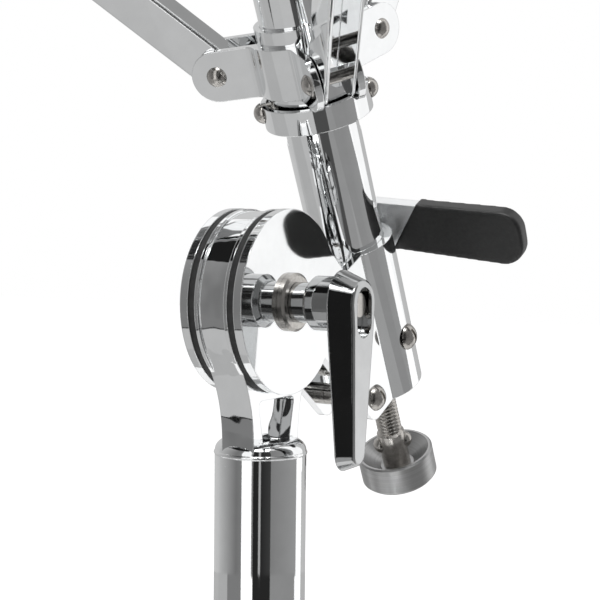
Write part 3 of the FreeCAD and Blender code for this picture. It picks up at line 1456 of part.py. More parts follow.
def place_origin():
    """Moves the stand so that its origin is under the middle of its outline."""
    doc.recompute()
    box = FreeCAD.BoundBox()
    for piece in pieces.values():
        box.add(piece.Shape.optimalBoundingBox(False, False))
    offset = Vector(-box.Center.x, -box.Center.y, -box.ZMin)
    for piece in pieces.values():
        piece.Placement.Base = piece.Placement.Base + offset
    doc.recompute()
    return offset


def write_parts():
    failed = [item.Name for item in doc.Objects if "Invalid" in item.State or "Error" in item.State]
    if failed:
        raise RuntimeError(f"failed objects: {failed}")
    for label, piece in pieces.items():
        if piece.Shape.isNull() or not piece.Shape.isValid():
            raise RuntimeError(f"{label} has no valid shape")
    os.makedirs("parts", exist_ok=True)
    for label, piece in pieces.items():
        piece.Shape.exportStep(f"parts/{label}.step")


make_column()
make_clamp()
make_memory_collar()
make_leg_hub()
make_spider()
make_legs()
make_tilter_stem()
make_lever()
make_bracket()
make_bracket_screws()
make_basket_tube()
make_grip_bar()
make_adjuster()
make_carriage()
make_link_hub()
make_links()
make_top_hub()
make_arms()
shift = place_origin()
write_parts()
print(f"{len(pieces)} parts, moved by {shift.x:.3f}, {shift.y:.3f}, {shift.z:.3f}")
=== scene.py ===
import json
import math
import random

import bmesh
import bpy
from mathutils import Matrix, Vector


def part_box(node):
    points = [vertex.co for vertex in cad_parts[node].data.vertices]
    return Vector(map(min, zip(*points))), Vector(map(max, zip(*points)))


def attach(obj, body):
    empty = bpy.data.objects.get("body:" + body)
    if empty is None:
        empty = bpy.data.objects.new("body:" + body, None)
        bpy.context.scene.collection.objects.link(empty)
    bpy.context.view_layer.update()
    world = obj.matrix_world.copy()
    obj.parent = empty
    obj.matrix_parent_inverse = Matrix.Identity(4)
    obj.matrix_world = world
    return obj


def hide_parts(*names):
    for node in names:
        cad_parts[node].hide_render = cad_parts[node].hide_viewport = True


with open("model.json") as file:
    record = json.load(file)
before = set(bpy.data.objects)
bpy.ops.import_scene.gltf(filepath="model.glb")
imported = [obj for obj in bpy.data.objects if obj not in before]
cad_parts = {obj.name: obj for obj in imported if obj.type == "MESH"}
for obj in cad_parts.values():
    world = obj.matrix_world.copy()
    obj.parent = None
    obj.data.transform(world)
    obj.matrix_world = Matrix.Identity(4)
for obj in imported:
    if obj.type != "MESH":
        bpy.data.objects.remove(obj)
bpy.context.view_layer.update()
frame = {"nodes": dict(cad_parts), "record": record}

# Snare drum stand: plated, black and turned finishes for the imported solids, four details (the
# rod's thread, the cheeks' shear marks, the dipped sleeve and the stem's shoulder), and a white
# studio seen from the photograph's place. Lengths are in metres, and named angles in degrees.

MM = 0.001
JOINTS = {joint["name"]: joint for joint in frame["record"]["behaviour"]["joints"]}
SLOTS = {part["node"]: part["material_slot"] for part in frame["record"]["subparts"]}
PIVOT = Vector(JOINTS["tilt"]["pos_m"])
TUBE_POINT = Vector(JOINTS["knob_turn"]["pos_m"])
TUBE_AXIS = Vector(JOINTS["knob_turn"]["axis"])


def tube_frame():
    """Matrix whose Z axis runs up the basket tube, with its origin level with the pivot."""
    across = Vector((1.0, 0.0, 0.0))
    back = TUBE_AXIS.cross(across)
    turn = Matrix((across, back, TUBE_AXIS)).transposed().to_4x4()
    return Matrix.Translation(TUBE_POINT) @ turn


# Objects and meshes

def new_mesh(name, points, faces):
    mesh = bpy.data.meshes.new(name)
    mesh.from_pydata(points, [], faces)
    return mesh


def new_object(name, data):
    """Puts a mesh, a lamp or a camera in the scene."""
    thing = bpy.data.objects.new(name, data)
    bpy.context.collection.objects.link(thing)
    return thing


def smooth_to_edges(mesh, degrees):
    """Smooth shading, but for edges that turn by more than an angle."""
    mesh.shade_smooth()
    mesh.set_sharp_from_angle(angle=math.radians(degrees))


def ring_point(side, sides, reach, height):
    """Point of a turned shape, at one of the sides of the ring at a height."""
    angle = 2.0 * math.pi * side / sides
    return Vector((reach * math.cos(angle), reach * math.sin(angle), height))


# Shader nodes

def new_material(name, metallic=0.0):
    material = bpy.data.materials.new(name)
    material.use_nodes = True
    nodes = material.node_tree.nodes
    shader = nodes["Principled BSDF"]
    shader.inputs["Metallic"].default_value = metallic
    return material, nodes, material.node_tree.links, shader


def object_coordinates(nodes):
    return nodes.new("ShaderNodeTexCoord").outputs["Object"]


def noise(nodes, links, scale, detail=4.0, roughness=0.55, vector=None):
    """A 0 to 1 signal over the object's coordinates, or over another vector."""
    if vector is None:
        vector = object_coordinates(nodes)
    texture = nodes.new("ShaderNodeTexNoise")
    texture.inputs["Scale"].default_value = scale
    texture.inputs["Detail"].default_value = detail
    texture.inputs["Roughness"].default_value = roughness
    links.new(vector, texture.inputs["Vector"])
    return texture.outputs["Fac"]


def ramp(nodes, links, source, stops, colours):
    """Blends from one colour to another between two stops of a 0 to 1 signal."""
    node = nodes.new("ShaderNodeValToRGB")
    for element, stop, colour in zip(node.color_ramp.elements, stops, colours):
        element.position = stop
        element.color = colour
    links.new(source, node.inputs["Fac"])
    return node.outputs["Color"]


def grey(level, tint=(1.0, 1.0, 1.0)):
    return tuple(level * part for part in tint) + (1.0,)


def span(nodes, links, source, low, high, ends=(0.0, 1.0)):
    """Spreads a signal that runs between two ends over low to high."""
    node = nodes.new("ShaderNodeMapRange")
    node.inputs["From Min"].default_value = ends[0]
    node.inputs["From Max"].default_value = ends[1]
    node.inputs["To Min"].default_value = low
    node.inputs["To Max"].default_value = high
    links.new(source, node.inputs["Value"])
    return node.outputs["Result"]


def combine(nodes, links, operation, first, second):
    """One signal from two, by a math operation."""
    node = nodes.new("ShaderNodeMath")
    node.operation = operation
    links.new(first, node.inputs[0])
    links.new(second, node.inputs[1])
    return node.outputs[0]


def vector_length(nodes, links, vector):
    node = nodes.new("ShaderNodeVectorMath")
    node.operation = "LENGTH"
    links.new(vector, node.inputs[0])
    return node.outputs["Value"]


def colour_and_rough(nodes, links, shader, grain, stops, colours, rough):
    """Lets one grain set a surface's colour and its roughness."""
    links.new(ramp(nodes, links, grain, stops, colours), shader.inputs["Base Color"])
    links.new(span(nodes, links, grain, *rough), shader.inputs["Roughness"])


def bump(nodes, links, height, shader, strength, distance, base=None):
    """Raises a surface by a height signal, over another node's normal where one is given."""
    node = nodes.new("ShaderNodeBump")
    if base:
        links.new(base.outputs["Normal"], node.inputs["Normal"])
    node.inputs["Strength"].default_value = strength
    node.inputs["Distance"].default_value = distance
    links.new(height, node.inputs["Height"])
    links.new(node.outputs["Normal"], shader.inputs["Normal"])


def soft_edges(nodes, links, shader, radius, samples):
    """Rounds the look of sharp edges; returns the node that a bump can build on."""
    node = nodes.new("ShaderNodeBevel")
    node.samples = samples
    node.inputs["Radius"].default_value = radius
    links.new(node.outputs["Normal"], shader.inputs["Normal"])
    return node


def turned_rings(nodes, links, matrix):
    """Vector that depends only on the distance from, and place along, a turning axis."""
    shifted = nodes.new("ShaderNodeVectorMath")
    shifted.operation = "SUBTRACT"
    shifted.inputs[1].default_value = matrix.translation
    links.new(object_coordinates(nodes), shifted.inputs[0])
    parts = []
    for row in matrix.inverted().to_3x3():
        dot = nodes.new("ShaderNodeVectorMath")
        dot.operation = "DOT_PRODUCT"
        dot.inputs[1].default_value = row
        links.new(shifted.outputs["Vector"], dot.inputs[0])
        parts.append(dot.outputs["Value"])
    flat = nodes.new("ShaderNodeCombineXYZ")
    links.new(parts[0], flat.inputs["X"])
    links.new(parts[1], flat.inputs["Y"])
    rings = nodes.new("ShaderNodeCombineXYZ")
    links.new(vector_length(nodes, links, flat.outputs["Vector"]), rings.inputs["X"])
    links.new(parts[2], rings.inputs["Z"])
    return rings.outputs["Vector"]


# Finishes; haze and grains are noise scales, and each pair goes with a grain's low and high ends

CHROME_TINT = (0.99, 1.0, 1.005)
CHROME_HAZE = 160.0
CHROME_STOPS = (0.3, 0.7)
CHROME_LEVELS = (0.92, 0.97)
CHROME_ROUGH = (0.015, 0.05)
DULL_ROUGH = (0.30, 0.42)
PRESSED_ROUGH = (0.03, 0.06)
CAST_LEVELS = (0.50, 0.55)
WAVE_GRAIN = 110.0
WAVE_DETAIL = 1.0
WAVE_STRENGTH = 1.0
WAVE_HEIGHT = 0.45 * MM
EDGE_RADIUS = 0.4 * MM
EDGE_SAMPLES = 4
METAL_RELIEF = 0.05 * MM
NICKEL_GRAIN = 900.0
NICKEL_DETAIL = 3.0
NICKEL_STOPS = (0.25, 0.75)
NICKEL_COLOURS = ((0.42, 0.40, 0.38, 1.0), (0.60, 0.58, 0.55, 1.0))
NICKEL_ROUGH = (0.16, 0.28)
NICKEL_STRENGTH = 0.04
SATIN_GRAIN = 2600.0
SATIN_DETAIL = 2.0
SATIN_FINENESS = 0.5
SATIN_STOPS = (0.3, 0.7)
SATIN_LEVELS = (0.36, 0.46)
SATIN_ROUGH = (0.26, 0.36)
SATIN_STRENGTH = 0.10
BLACK_DETAIL = 6.0
BLACK_FINENESS = 0.65
BLACK_STOPS = (0.35, 0.75)
BLACK_STRENGTH = 0.3


def make_chrome(name="chrome", rough=CHROME_ROUGH, levels=CHROME_LEVELS, wave=0.0):
    """Plated metal with faint buffing haze, softly broken edges and, on a casting, slow waves."""
    material, nodes, links, shader = new_material(name, metallic=1.0)
    haze = noise(nodes, links, CHROME_HAZE)
    colours = [grey(level, CHROME_TINT) for level in levels]
    colour_and_rough(nodes, links, shader, haze, CHROME_STOPS, colours, rough)
    edges = soft_edges(nodes, links, shader, EDGE_RADIUS, EDGE_SAMPLES)
    if wave:
        waves = noise(nodes, links, WAVE_GRAIN, WAVE_DETAIL)
        bump(nodes, links, waves, shader, WAVE_STRENGTH, wave, edges)
    return material


def make_nickel():
    """Dull plated rivets and screws, a little warm, with fine rubbed mottling."""
    material, nodes, links, shader = new_material("nickel", metallic=1.0)
    mottle = noise(nodes, links, NICKEL_GRAIN, NICKEL_DETAIL)
    colour_and_rough(nodes, links, shader, mottle, NICKEL_STOPS, NICKEL_COLOURS, NICKEL_ROUGH)
    bump(nodes, links, mottle, shader, NICKEL_STRENGTH, METAL_RELIEF)
    return material


def make_satin():
    """Satin-turned metal for the knob, with fine rings left by the lathe."""
    material, nodes, links, shader = new_material("satin", metallic=1.0)
    rings = turned_rings(nodes, links, tube_frame())
    grain = noise(nodes, links, SATIN_GRAIN, SATIN_DETAIL, SATIN_FINENESS, rings)
    colours = [grey(level) for level in SATIN_LEVELS]
    colour_and_rough(nodes, links, shader, grain, SATIN_STOPS, colours, SATIN_ROUGH)
    bump(nodes, links, grain, shader, SATIN_STRENGTH, METAL_RELIEF)
    return material


def make_black(name, scale, levels, rough, relief):
    """A black moulded surface with its own grain and grey scuffs."""
    material, nodes, links, shader = new_material(name)
    grain = noise(nodes, links, scale, BLACK_DETAIL, BLACK_FINENESS)
    colours = [grey(level) for level in levels]
    colour_and_rough(nodes, links, shader, grain, BLACK_STOPS, colours, rough)
    bump(nodes, links, grain, shader, BLACK_STRENGTH, relief)
    return material


MATERIALS = {
    "chrome": make_chrome(),
    "nickel": make_nickel(),
    "satin": make_satin(),
    "dull_chrome": make_chrome("dull_chrome", rough=DULL_ROUGH),
    "pressed_chrome": make_chrome("pressed_chrome", rough=PRESSED_ROUGH),
    "cast_chrome": make_chrome("cast_chrome", levels=CAST_LEVELS),
    "wavy_chrome": make_chrome("wavy_chrome", wave=WAVE_HEIGHT),
    "friction": make_black("friction", scale=500.0, levels=(0.012, 0.03), rough=(0.45, 0.65),
                           relief=0.1 * MM),
    "nylon": make_black("nylon", scale=300.0, levels=(0.02, 0.045), rough=(0.35, 0.5),
                        relief=0.1 * MM),
    "rubber": make_black("rubber", scale=900.0, levels=(0.014, 0.024), rough=(0.30, 0.42),
                         relief=0.04 * MM),
}

# Each piece's finish: its slot's, but for the pieces that look unlike the rest of their slot
FINISHES = {
    **SLOTS,
    "grip_bar": "dull_chrome",
    "basket_bracket": "pressed_chrome",
    "tilter_stem": "wavy_chrome",
    "tilt_lever": "cast_chrome",
    "lever_washer": "nickel",
}
for name, node in frame["nodes"].items():
    node.data.materials.clear()
    node.data.materials.append(MATERIALS[FINISHES[name]])


# Adjuster rod with its thread; places run up the basket tube from the pivot's level

ROD_ROOT = 3.35 * MM
ROD_CREST = 3.98 * MM
ROD_SMOOTH = 4.5 * MM
ROD_LOW = -91.7 * MM
ROD_NECK = -88.8 * MM
ROD_SMOOTH_TOP = -76.5 * MM
ROD_SIDES = 28
ROD_SHARP = 40.0
THREAD_LOW = -75.6 * MM
THREAD_TOP = 33.5 * MM
THREAD_PITCH = 1.25 * MM
THREAD_BLUNT = 1.3
ROWS_PER_PITCH = 6


def thread_radius(place, turn):
    """A V thread with blunt crests: root and crest in turn along the rod."""
    phase = (place - THREAD_LOW) / THREAD_PITCH - turn
    rise = 1.0 - abs(2.0 * (phase - math.floor(phase)) - 1.0)
    return ROD_ROOT + (ROD_CREST - ROD_ROOT) * min(1.0, rise * THREAD_BLUNT)


def rod_rows():
    """Places up the rod with their radius, which is None where the thread sets it."""
    rows = [(ROD_LOW, ROD_CREST), (ROD_NECK, ROD_CREST), (ROD_NECK, ROD_SMOOTH),
            (ROD_SMOOTH_TOP, ROD_SMOOTH), (THREAD_LOW, ROD_ROOT)]
    length = THREAD_TOP - THREAD_LOW
    count = int(length / THREAD_PITCH * ROWS_PER_PITCH)
    return rows + [(THREAD_LOW + length * step / count, None) for step in range(1, count + 1)]


def make_threaded_rod():
    points, faces = [], []
    for place, radius in rod_rows():
        for side in range(ROD_SIDES):
            reach = thread_radius(place, side / ROD_SIDES) if radius is None else radius
            points.append(ring_point(side, ROD_SIDES, reach, place))
    last = len(points) - ROD_SIDES
    for low in range(0, last, ROD_SIDES):
        high = low + ROD_SIDES
        for side in range(ROD_SIDES):
            after = (side + 1) % ROD_SIDES
            faces.append((low + side, low + after, high + after, high + side))
    faces.append(tuple(reversed(range(ROD_SIDES))))
    faces.append(tuple(range(last, last + ROD_SIDES)))
    mesh = new_mesh("threaded_rod", points, faces)
    mesh.transform(tube_frame())
    smooth_to_edges(mesh, ROD_SHARP)
    mesh.materials.append(MATERIALS["nickel"])
    rod = new_object("threaded_rod", mesh)
    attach(rod, "adjuster")
    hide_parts("adjuster_rod")


make_threaded_rod()


# Shear marks that stamping left on the rims of the two cheeks, high on the side away from the tube

CHEEK_INNER = 7.08 * MM
CHEEK_OUTER = 9.58 * MM
CHEEK_RADIUS = 25.3 * MM
MARK_FOOT = 25.12 * MM
MARK_CREST = 25.37 * MM
MARK_HALF = 0.10 * MM
MARK_STEP = 0.46 * MM
MARK_INSET = 0.25 * MM
MARK_SEED = 7
MARK_WANDER = (0.7, 1.4)
NEAR_MARKS = (18.0, 60.0)
FAR_MARKS = (19.0, 51.0)


def rim_point(across, angle, radius):
    """Point round the tilter's axis; the angle, in radians, rises from the front level."""
    return PIVOT + Vector((across, -radius * math.cos(angle), radius * math.sin(angle)))


def make_shear_marks():
    """Fine ridges across each rim, whose steps vary as a worn die leaves them."""
    wander = random.Random(MARK_SEED)
    half = MARK_HALF / CHEEK_RADIUS
    points, faces = [], []
    for side, (low, high) in ((1.0, NEAR_MARKS), (-1.0, FAR_MARKS)):
        ends = (side * (CHEEK_INNER + MARK_INSET), side * (CHEEK_OUTER - MARK_INSET))
        angle = math.radians(low)
        while angle < math.radians(high):
            start = len(points)
            for across in ends:
                points.append(rim_point(across, angle - half, MARK_FOOT))
                points.append(rim_point(across, angle, MARK_CREST))
                points.append(rim_point(across, angle + half, MARK_FOOT))
            a, b, c, d, e, f = range(start, len(points))
            faces += [(a, b, e, d), (b, c, f, e), (c, a, d, f), (a, c, b), (d, e, f)]
            angle += MARK_STEP * wander.uniform(*MARK_WANDER) / CHEEK_RADIUS
    mesh = new_mesh("shear_marks", points, faces)
    fix = bmesh.new()
    fix.from_mesh(mesh)
    bmesh.ops.recalc_face_normals(fix, faces=fix.faces)
    fix.to_mesh(mesh)
    fix.free()
    mesh.materials.append(MATERIALS["chrome"])
    marks = new_object("shear_marks", mesh)
    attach(marks, "basket")


make_shear_marks()


# The black sleeve, rounded as dipped vinyl is

SLEEVE_VOXEL = 0.4 * MM
SLEEVE_PASSES = 16
SLEEVE_EASE = 0.5
SLEEVE_HELD = 1.3 * MM
SLEEVE_FLAT = 1.0
SLEEVE_SHARP = 40.0
MOUTH_AREA = 20.0 * MM * MM


def sleeve_hull():
    """The convex skin of the sleeve's solid, with each flat side as one face."""
    hull = bmesh.new()
    for vertex in frame["nodes"]["grip_sleeve"].data.vertices:
        hull.verts.new(vertex.co)
    made = bmesh.ops.convex_hull(hull, input=hull.verts)
    inside = made["geom_interior"] + made["geom_unused"]
    spare = {item for item in inside if isinstance(item, bmesh.types.BMVert)}
    bmesh.ops.delete(hull, geom=list(spare), context="VERTS")
    flat = math.radians(SLEEVE_FLAT)
    bmesh.ops.dissolve_limit(hull, angle_limit=flat, verts=hull.verts, edges=hull.edges)
    bmesh.ops.recalc_face_normals(hull, faces=hull.faces)
    return hull


def make_dipped_sleeve():
    """The sleeve's outer skin with soft edges, crisp only round its slanted mouth."""
    hull = sleeve_hull()
    large = [face for face in hull.faces if face.calc_area() > MOUTH_AREA]
    mouth = min(large, key=lambda face: face.normal.x)
    place = mouth.calc_center_median()
    outward = mouth.normal.copy()
    block = bpy.data.meshes.new("sleeve_block")
    hull.to_mesh(block)
    hull.free()
    sleeve = new_object("dipped_sleeve", block)
    skin = sleeve.modifiers.new("skin", "REMESH")
    skin.mode = "VOXEL"
    skin.voxel_size = SLEEVE_VOXEL
    graph = bpy.context.evaluated_depsgraph_get()
    mesh = bpy.data.meshes.new_from_object(sleeve.evaluated_get(graph))
    sleeve.modifiers.clear()
    sleeve.data = mesh
    mesh.name = "dipped_sleeve"
    bpy.data.meshes.remove(block)
    shape = bmesh.new()
    shape.from_mesh(mesh)
    free = [vertex for vertex in shape.verts if (place - vertex.co).dot(outward) > SLEEVE_HELD]
    for _ in range(SLEEVE_PASSES):
        bmesh.ops.smooth_vert(shape, verts=free, factor=SLEEVE_EASE,
                              use_axis_x=True, use_axis_y=True, use_axis_z=True)
    shape.to_mesh(mesh)
    shape.free()
    smooth_to_edges(mesh, SLEEVE_SHARP)
    mesh.materials.clear()
    mesh.materials.append(MATERIALS["rubber"])
    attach(sleeve, "basket")
    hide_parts("grip_sleeve")


make_dipped_sleeve()


# Rounded shoulder of the stem, with the bead that covers its joint with the upright tube

FERRULE_SKIN = 0.02 * MM
FERRULE_SKIRT = 2.0 * MM
FERRULE_LEVEL = 0.5 * MM
FERRULE_DIP = 0.03 * MM
FERRULE_BACK = 0.6 * MM
FERRULE_SIDES = 96
FERRULE_SHARP = 35.0
BEAD_HEIGHT = 2.9 * MM
BEAD_RADIUS = 0.65 * MM
BEAD_INSET = 0.35 * MM
DOME_INNER = 9.0 * MM
DOME_TOP = 6.64 * MM
ARC_STEPS = 10


def ferrule_profile(radius):
    """Points (radius, height over the tube's end): skirt, bead, dome and a hidden way back."""
    outer = radius + FERRULE_SKIN
    lean = math.acos((BEAD_INSET + FERRULE_SKIN) / BEAD_RADIUS)
    points = [(radius - FERRULE_DIP, -FERRULE_SKIRT), (outer, -FERRULE_LEVEL)]
    for step in range(ARC_STEPS + 1):
        turn = lean * (2.0 * step / ARC_STEPS - 1.0)
        points.append((radius - BEAD_INSET + BEAD_RADIUS * math.cos(turn),
                       BEAD_HEIGHT + BEAD_RADIUS * math.sin(turn)))
    foot = points[-1][1]
    for step in range(1, ARC_STEPS + 1):
        turn = math.pi / 2.0 * step / ARC_STEPS
        points.append((DOME_INNER + (outer - DOME_INNER) * math.cos(turn),
                       foot + (DOME_TOP - foot) * math.sin(turn)))
    back = outer - FERRULE_BACK
    return points + [(DOME_INNER, foot), (back, foot), (back, -FERRULE_SKIRT)]


def make_stem_ferrule():
    low, high = (Vector(corner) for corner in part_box("stem_tube"))
    profile = ferrule_profile((high.x - low.x) / 2.0)
    centre = Vector(((low.x + high.x) / 2.0, (low.y + high.y) / 2.0, high.z))
    count = len(profile)
    points, faces = [], []
    for side in range(FERRULE_SIDES):
        points += [centre + ring_point(side, FERRULE_SIDES, *place) for place in profile]
        here, there = side * count, (side + 1) % FERRULE_SIDES * count
        for step in range(count):
            after = (step + 1) % count
            faces.append((here + step, there + step, there + after, here + after))
    mesh = new_mesh("stem_ferrule", points, faces)
    smooth_to_edges(mesh, FERRULE_SHARP)
    mesh.materials.append(MATERIALS["chrome"])
    ferrule = new_object("stem_ferrule", mesh)
    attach(ferrule, "column")


make_stem_ferrule()


# The photograph's camera, measured from the tilter's pivot; its sensor is in millimetres

CAMERA_OFFSET = Vector((202.98, -323.27, 22.478)) * MM
CAMERA_AZIMUTH = 30.552
CAMERA_ELEVATION = 3.326
CAMERA_ROLL = 0.590
FOCAL_PIXELS = 1390.5
PHOTO_PIXELS = 600
SENSOR_WIDTH = 36.0
CLIP_START = 0.01


def make_camera():
    azimuth, elevation = math.radians(CAMERA_AZIMUTH), math.radians(CAMERA_ELEVATION)
    roll = math.radians(CAMERA_ROLL)
    right = Vector((math.cos(azimuth), math.sin(azimuth), 0.0))
    forward = Vector((-math.sin(azimuth) * math.cos(elevation),
                      math.cos(azimuth) * math.cos(elevation), -math.sin(elevation)))
    up = right.cross(forward)
    across = right * math.cos(roll) + up * math.sin(roll)
    upright = up * math.cos(roll) - right * math.sin(roll)
    data = bpy.data.cameras.new("camera")
    data.sensor_width = SENSOR_WIDTH
    data.lens = FOCAL_PIXELS / PHOTO_PIXELS * SENSOR_WIDTH
    data.clip_start = CLIP_START
    camera = new_object("camera", data)
    turn = Matrix((across, upright, -forward)).transposed().to_4x4()
    camera.matrix_world = Matrix.Translation(PIVOT + CAMERA_OFFSET) @ turn
    bpy.context.scene.camera = camera


# Studio: a floor, a white world and lamps

FLOOR_HALF = 6.0
FLOOR_LEVEL = 0.86
FLOOR_ROUGH = 0.9
FLOOR_NEAR = 0.7
FLOOR_FAR = 1.6
FLOOR_GLOW_NEAR = 0.08
FLOOR_GLOW_FAR = 0.66
WORLD_FALLING = 0.42
WORLD_SEEN = 1.0


def stage_card(name, points, faces):
    """A mesh that isn't part of the stand."""
    card = new_object(name, new_mesh(name, points, faces))
    return card


def seen_rays(nodes, links):
    """1 for what the camera, a reflection or a refraction sees, and 0 for the light that falls."""
    path = nodes.new("ShaderNodeLightPath")
    most = path.outputs["Is Camera Ray"]
    for ray in ("Is Glossy Ray", "Is Transmission Ray"):
        most = combine(nodes, links, "MAXIMUM", most, path.outputs[ray])
    return most


def make_floor():
    """A pale floor that keeps the shadow near the stand and turns white further out."""
    corners = [(-FLOOR_HALF, -FLOOR_HALF, 0.0), (FLOOR_HALF, -FLOOR_HALF, 0.0),
               (FLOOR_HALF, FLOOR_HALF, 0.0), (-FLOOR_HALF, FLOOR_HALF, 0.0)]
    floor = stage_card("floor", corners, [(0, 1, 2, 3)])
    material, nodes, links, shader = new_material("pale_floor")
    shader.inputs["Roughness"].default_value = FLOOR_ROUGH
    shader.inputs["Base Color"].default_value = grey(FLOOR_LEVEL)
    shader.inputs["Emission Color"].default_value = grey(1.0)
    distance = vector_length(nodes, links, object_coordinates(nodes))
    glow = span(nodes, links, distance, FLOOR_GLOW_NEAR, FLOOR_GLOW_FAR, (FLOOR_NEAR, FLOOR_FAR))
    seen = combine(nodes, links, "MULTIPLY", seen_rays(nodes, links), glow)
    links.new(seen, shader.inputs["Emission Strength"])
    floor.data.materials.append(material)


def make_world():
    """White where it is seen, while less light than that falls from it."""
    world = bpy.data.worlds.new("studio")
    bpy.context.scene.world = world
    world.use_nodes = True
    nodes, links = world.node_tree.nodes, world.node_tree.links
    background = nodes["Background"]
    background.inputs["Color"].default_value = grey(1.0)
    strength = span(nodes, links, seen_rays(nodes, links), WORLD_FALLING, WORLD_SEEN)
    links.new(strength, background.inputs["Strength"])


def make_lamp(name, offset, size, watts):
    """A lamp placed from the tilter's pivot and aimed at it."""
    lamp = bpy.data.lights.new(name, "AREA")
    lamp.shape = "RECTANGLE"
    lamp.size, lamp.size_y = size
    lamp.energy = watts
    light = new_object(name, lamp)
    place = PIVOT + Vector(offset)
    aim = (PIVOT - place).to_track_quat("-Z", "Y").to_matrix().to_4x4()
    light.matrix_world = Matrix.Translation(place) @ aim


# The grey and black cards that chrome needs, which only reflections see; the gaps show white

CARD_REACH = 1.6
CARD_STEP = 3.0
CARD_LIFT = 0.004
WALL_FOOT = -17.1
WALL_TOP = 40.0
FRONT_TOP = 45.0
RING_NEAR = 0.30
RING_FAR = 1.54

# Name, two azimuths from the camera's direction, two elevations, and the greys at the azimuths
WALL_CARDS = [
    ("card_back_left", (-180.0, -125.0), (WALL_FOOT, WALL_TOP), (0.60, 0.52)),
    ("card_left", (-125.0, -62.0), (WALL_FOOT, WALL_TOP), (0.50, 0.17)),
    ("card_left_edge", (-62.0, -47.0), (WALL_FOOT, WALL_TOP), (0.17, 0.20)),
    ("card_left_high", (-110.0, -35.0), (WALL_TOP, 58.0), (0.012, 0.012)),
    ("card_left_top", (-110.0, -35.0), (58.0, 82.0), (0.15, 0.15)),
    ("card_front_edge", (-22.0, -18.0), (WALL_FOOT, FRONT_TOP), (0.25, 0.2)),
    ("card_front_left", (-18.0, -4.0), (WALL_FOOT, FRONT_TOP), (0.018, 0.02)),
    ("card_front_gap", (-4.0, 1.0), (WALL_FOOT, FRONT_TOP), (0.40, 0.40)),
    ("card_front_right", (1.0, 26.0), (WALL_FOOT, FRONT_TOP), (0.02, 0.045)),
    ("card_right", (26.0, 88.0), (-5.0, 55.0), (0.21, 0.26)),
    ("card_right_low", (26.0, 102.0), (WALL_FOOT, -5.0), (0.21, 0.30)),
    ("card_back_high", (125.0, 165.0), (WALL_TOP, 60.0), (0.30, 0.30)),
    ("card_ceiling", (-35.0, 250.0), (64.0, 89.9), (0.55, 0.55)),
    ("card_back_right", (128.0, 180.0), (WALL_FOOT, WALL_TOP), (0.52, 0.46)),
]

# Name, two azimuths from the camera's direction, two distances from under the pivot, and the grey
FLOOR_CARDS = [
    ("card_floor_left", (-125.0, -88.0), (RING_NEAR, RING_FAR), 0.42),
    ("card_floor_left_far", (-88.0, -47.0), (0.92, RING_FAR), 0.20),
    ("card_floor_line", (-88.0, -47.0), (0.88, 0.92), 0.01),
    ("card_floor_left_near", (-88.0, -47.0), (RING_NEAR, 0.88), 0.48),
    ("card_floor_left_gap", (-47.0, -22.0), (RING_NEAR, 0.90), 0.50),
    ("card_floor_front_far", (-18.0, 26.0), (0.78, RING_FAR), 0.02),
    ("card_floor_front", (-22.0, -6.0), (RING_NEAR, 0.78), 0.50),
    ("card_floor_front_dark", (-6.0, 26.0), (RING_NEAR, 0.78), 0.07),
    ("card_floor_front_near", (26.0, 50.0), (RING_NEAR, 0.90), 0.29),
    ("card_floor_right_far", (26.0, 98.0), (0.90, RING_FAR), 0.26),
    ("card_floor_right", (50.0, 98.0), (RING_NEAR, 0.90), 0.33),
    ("card_floor_back", (128.0, 235.0), (0.62, RING_FAR), 0.45),
]


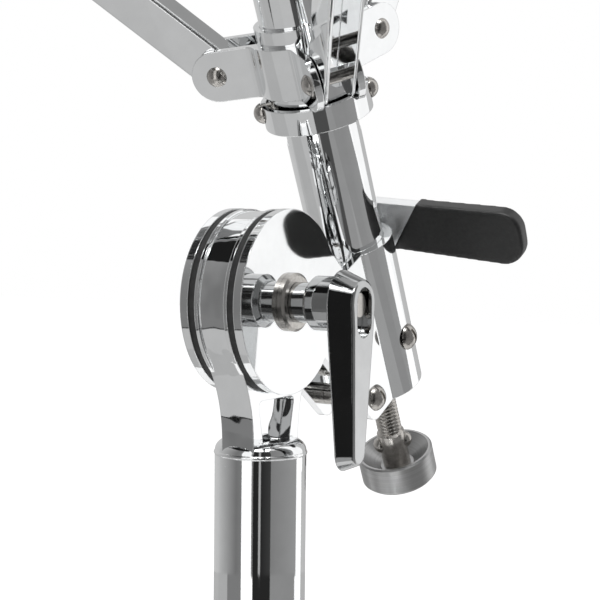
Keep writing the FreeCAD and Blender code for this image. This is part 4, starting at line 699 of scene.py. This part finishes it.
def grey_card(name, points, faces, levels):
    """A stage card that only reflections see, with a grey level at each point."""
    card = stage_card(name, points, faces)
    card.visible_camera = False
    card.visible_shadow = False
    card.visible_diffuse = False
    shade = card.data.attributes.new("level", "FLOAT", "POINT")
    for item, level in zip(shade.data, levels):
        item.value = level
    material, nodes, links, shader = new_material(name)
    shader.inputs["Base Color"].default_value = grey(0.0)
    shader.inputs["Specular IOR Level"].default_value = 0.0
    shader.inputs["Emission Color"].default_value = grey(1.0)
    reading = nodes.new("ShaderNodeAttribute")
    reading.attribute_name = "level"
    links.new(reading.outputs["Fac"], shader.inputs["Emission Strength"])
    card.data.materials.append(material)


def toward(azimuth, elevation, reach):
    """Point at an angle to the right of the camera's own direction, and above the level."""
    turn = math.atan2(CAMERA_OFFSET.y, CAMERA_OFFSET.x) + math.radians(azimuth)
    rise = math.radians(elevation)
    level = math.cos(rise)
    return Vector((math.cos(turn) * level, math.sin(turn) * level, math.sin(rise))) * reach


def card_steps(azimuths):
    return max(1, round((azimuths[1] - azimuths[0]) / CARD_STEP))


def between(ends, share):
    """Value at a share of the way from the first end to the second."""
    return ends[0] + (ends[1] - ends[0]) * share


def wall_card(name, azimuths, elevations, levels):
    """A curved upright card between two azimuths, shaded from its first edge to its last."""
    steps = card_steps(azimuths)
    points, shades = [], []
    for step in range(steps + 1):
        azimuth = between(azimuths, step / steps)
        for elevation in elevations:
            points.append(PIVOT + toward(azimuth, elevation, CARD_REACH))
            shades.append(between(levels, step / steps))
    faces = [(2 * step, 2 * step + 2, 2 * step + 3, 2 * step + 1) for step in range(steps)]
    grey_card(name, points, faces, shades)


def floor_card(name, azimuths, reaches, level):
    """A flat card just over the floor, part of a ring round the stand."""
    steps = card_steps(azimuths)
    base = Vector((PIVOT.x, PIVOT.y, CARD_LIFT))
    points = []
    for step in range(steps + 1):
        azimuth = between(azimuths, step / steps)
        points += [base + toward(azimuth, 0.0, reach) for reach in reaches]
    faces = [(2 * step, 2 * step + 1, 2 * step + 3, 2 * step + 2) for step in range(steps)]
    grey_card(name, points, faces, [level] * len(points))


make_floor()
make_world()
make_lamp("top_light", offset=(0.3, -0.5, 1.6), size=(1.1, 1.1), watts=25.0)
make_lamp("left_light", offset=(-1.5, -0.6, 0.5), size=(1.0, 1.4), watts=10.0)
for card in WALL_CARDS:
    wall_card(*card)
for card in FLOOR_CARDS:
    floor_card(*card)
make_camera()
bpy.context.scene.view_settings.view_transform = "Standard"
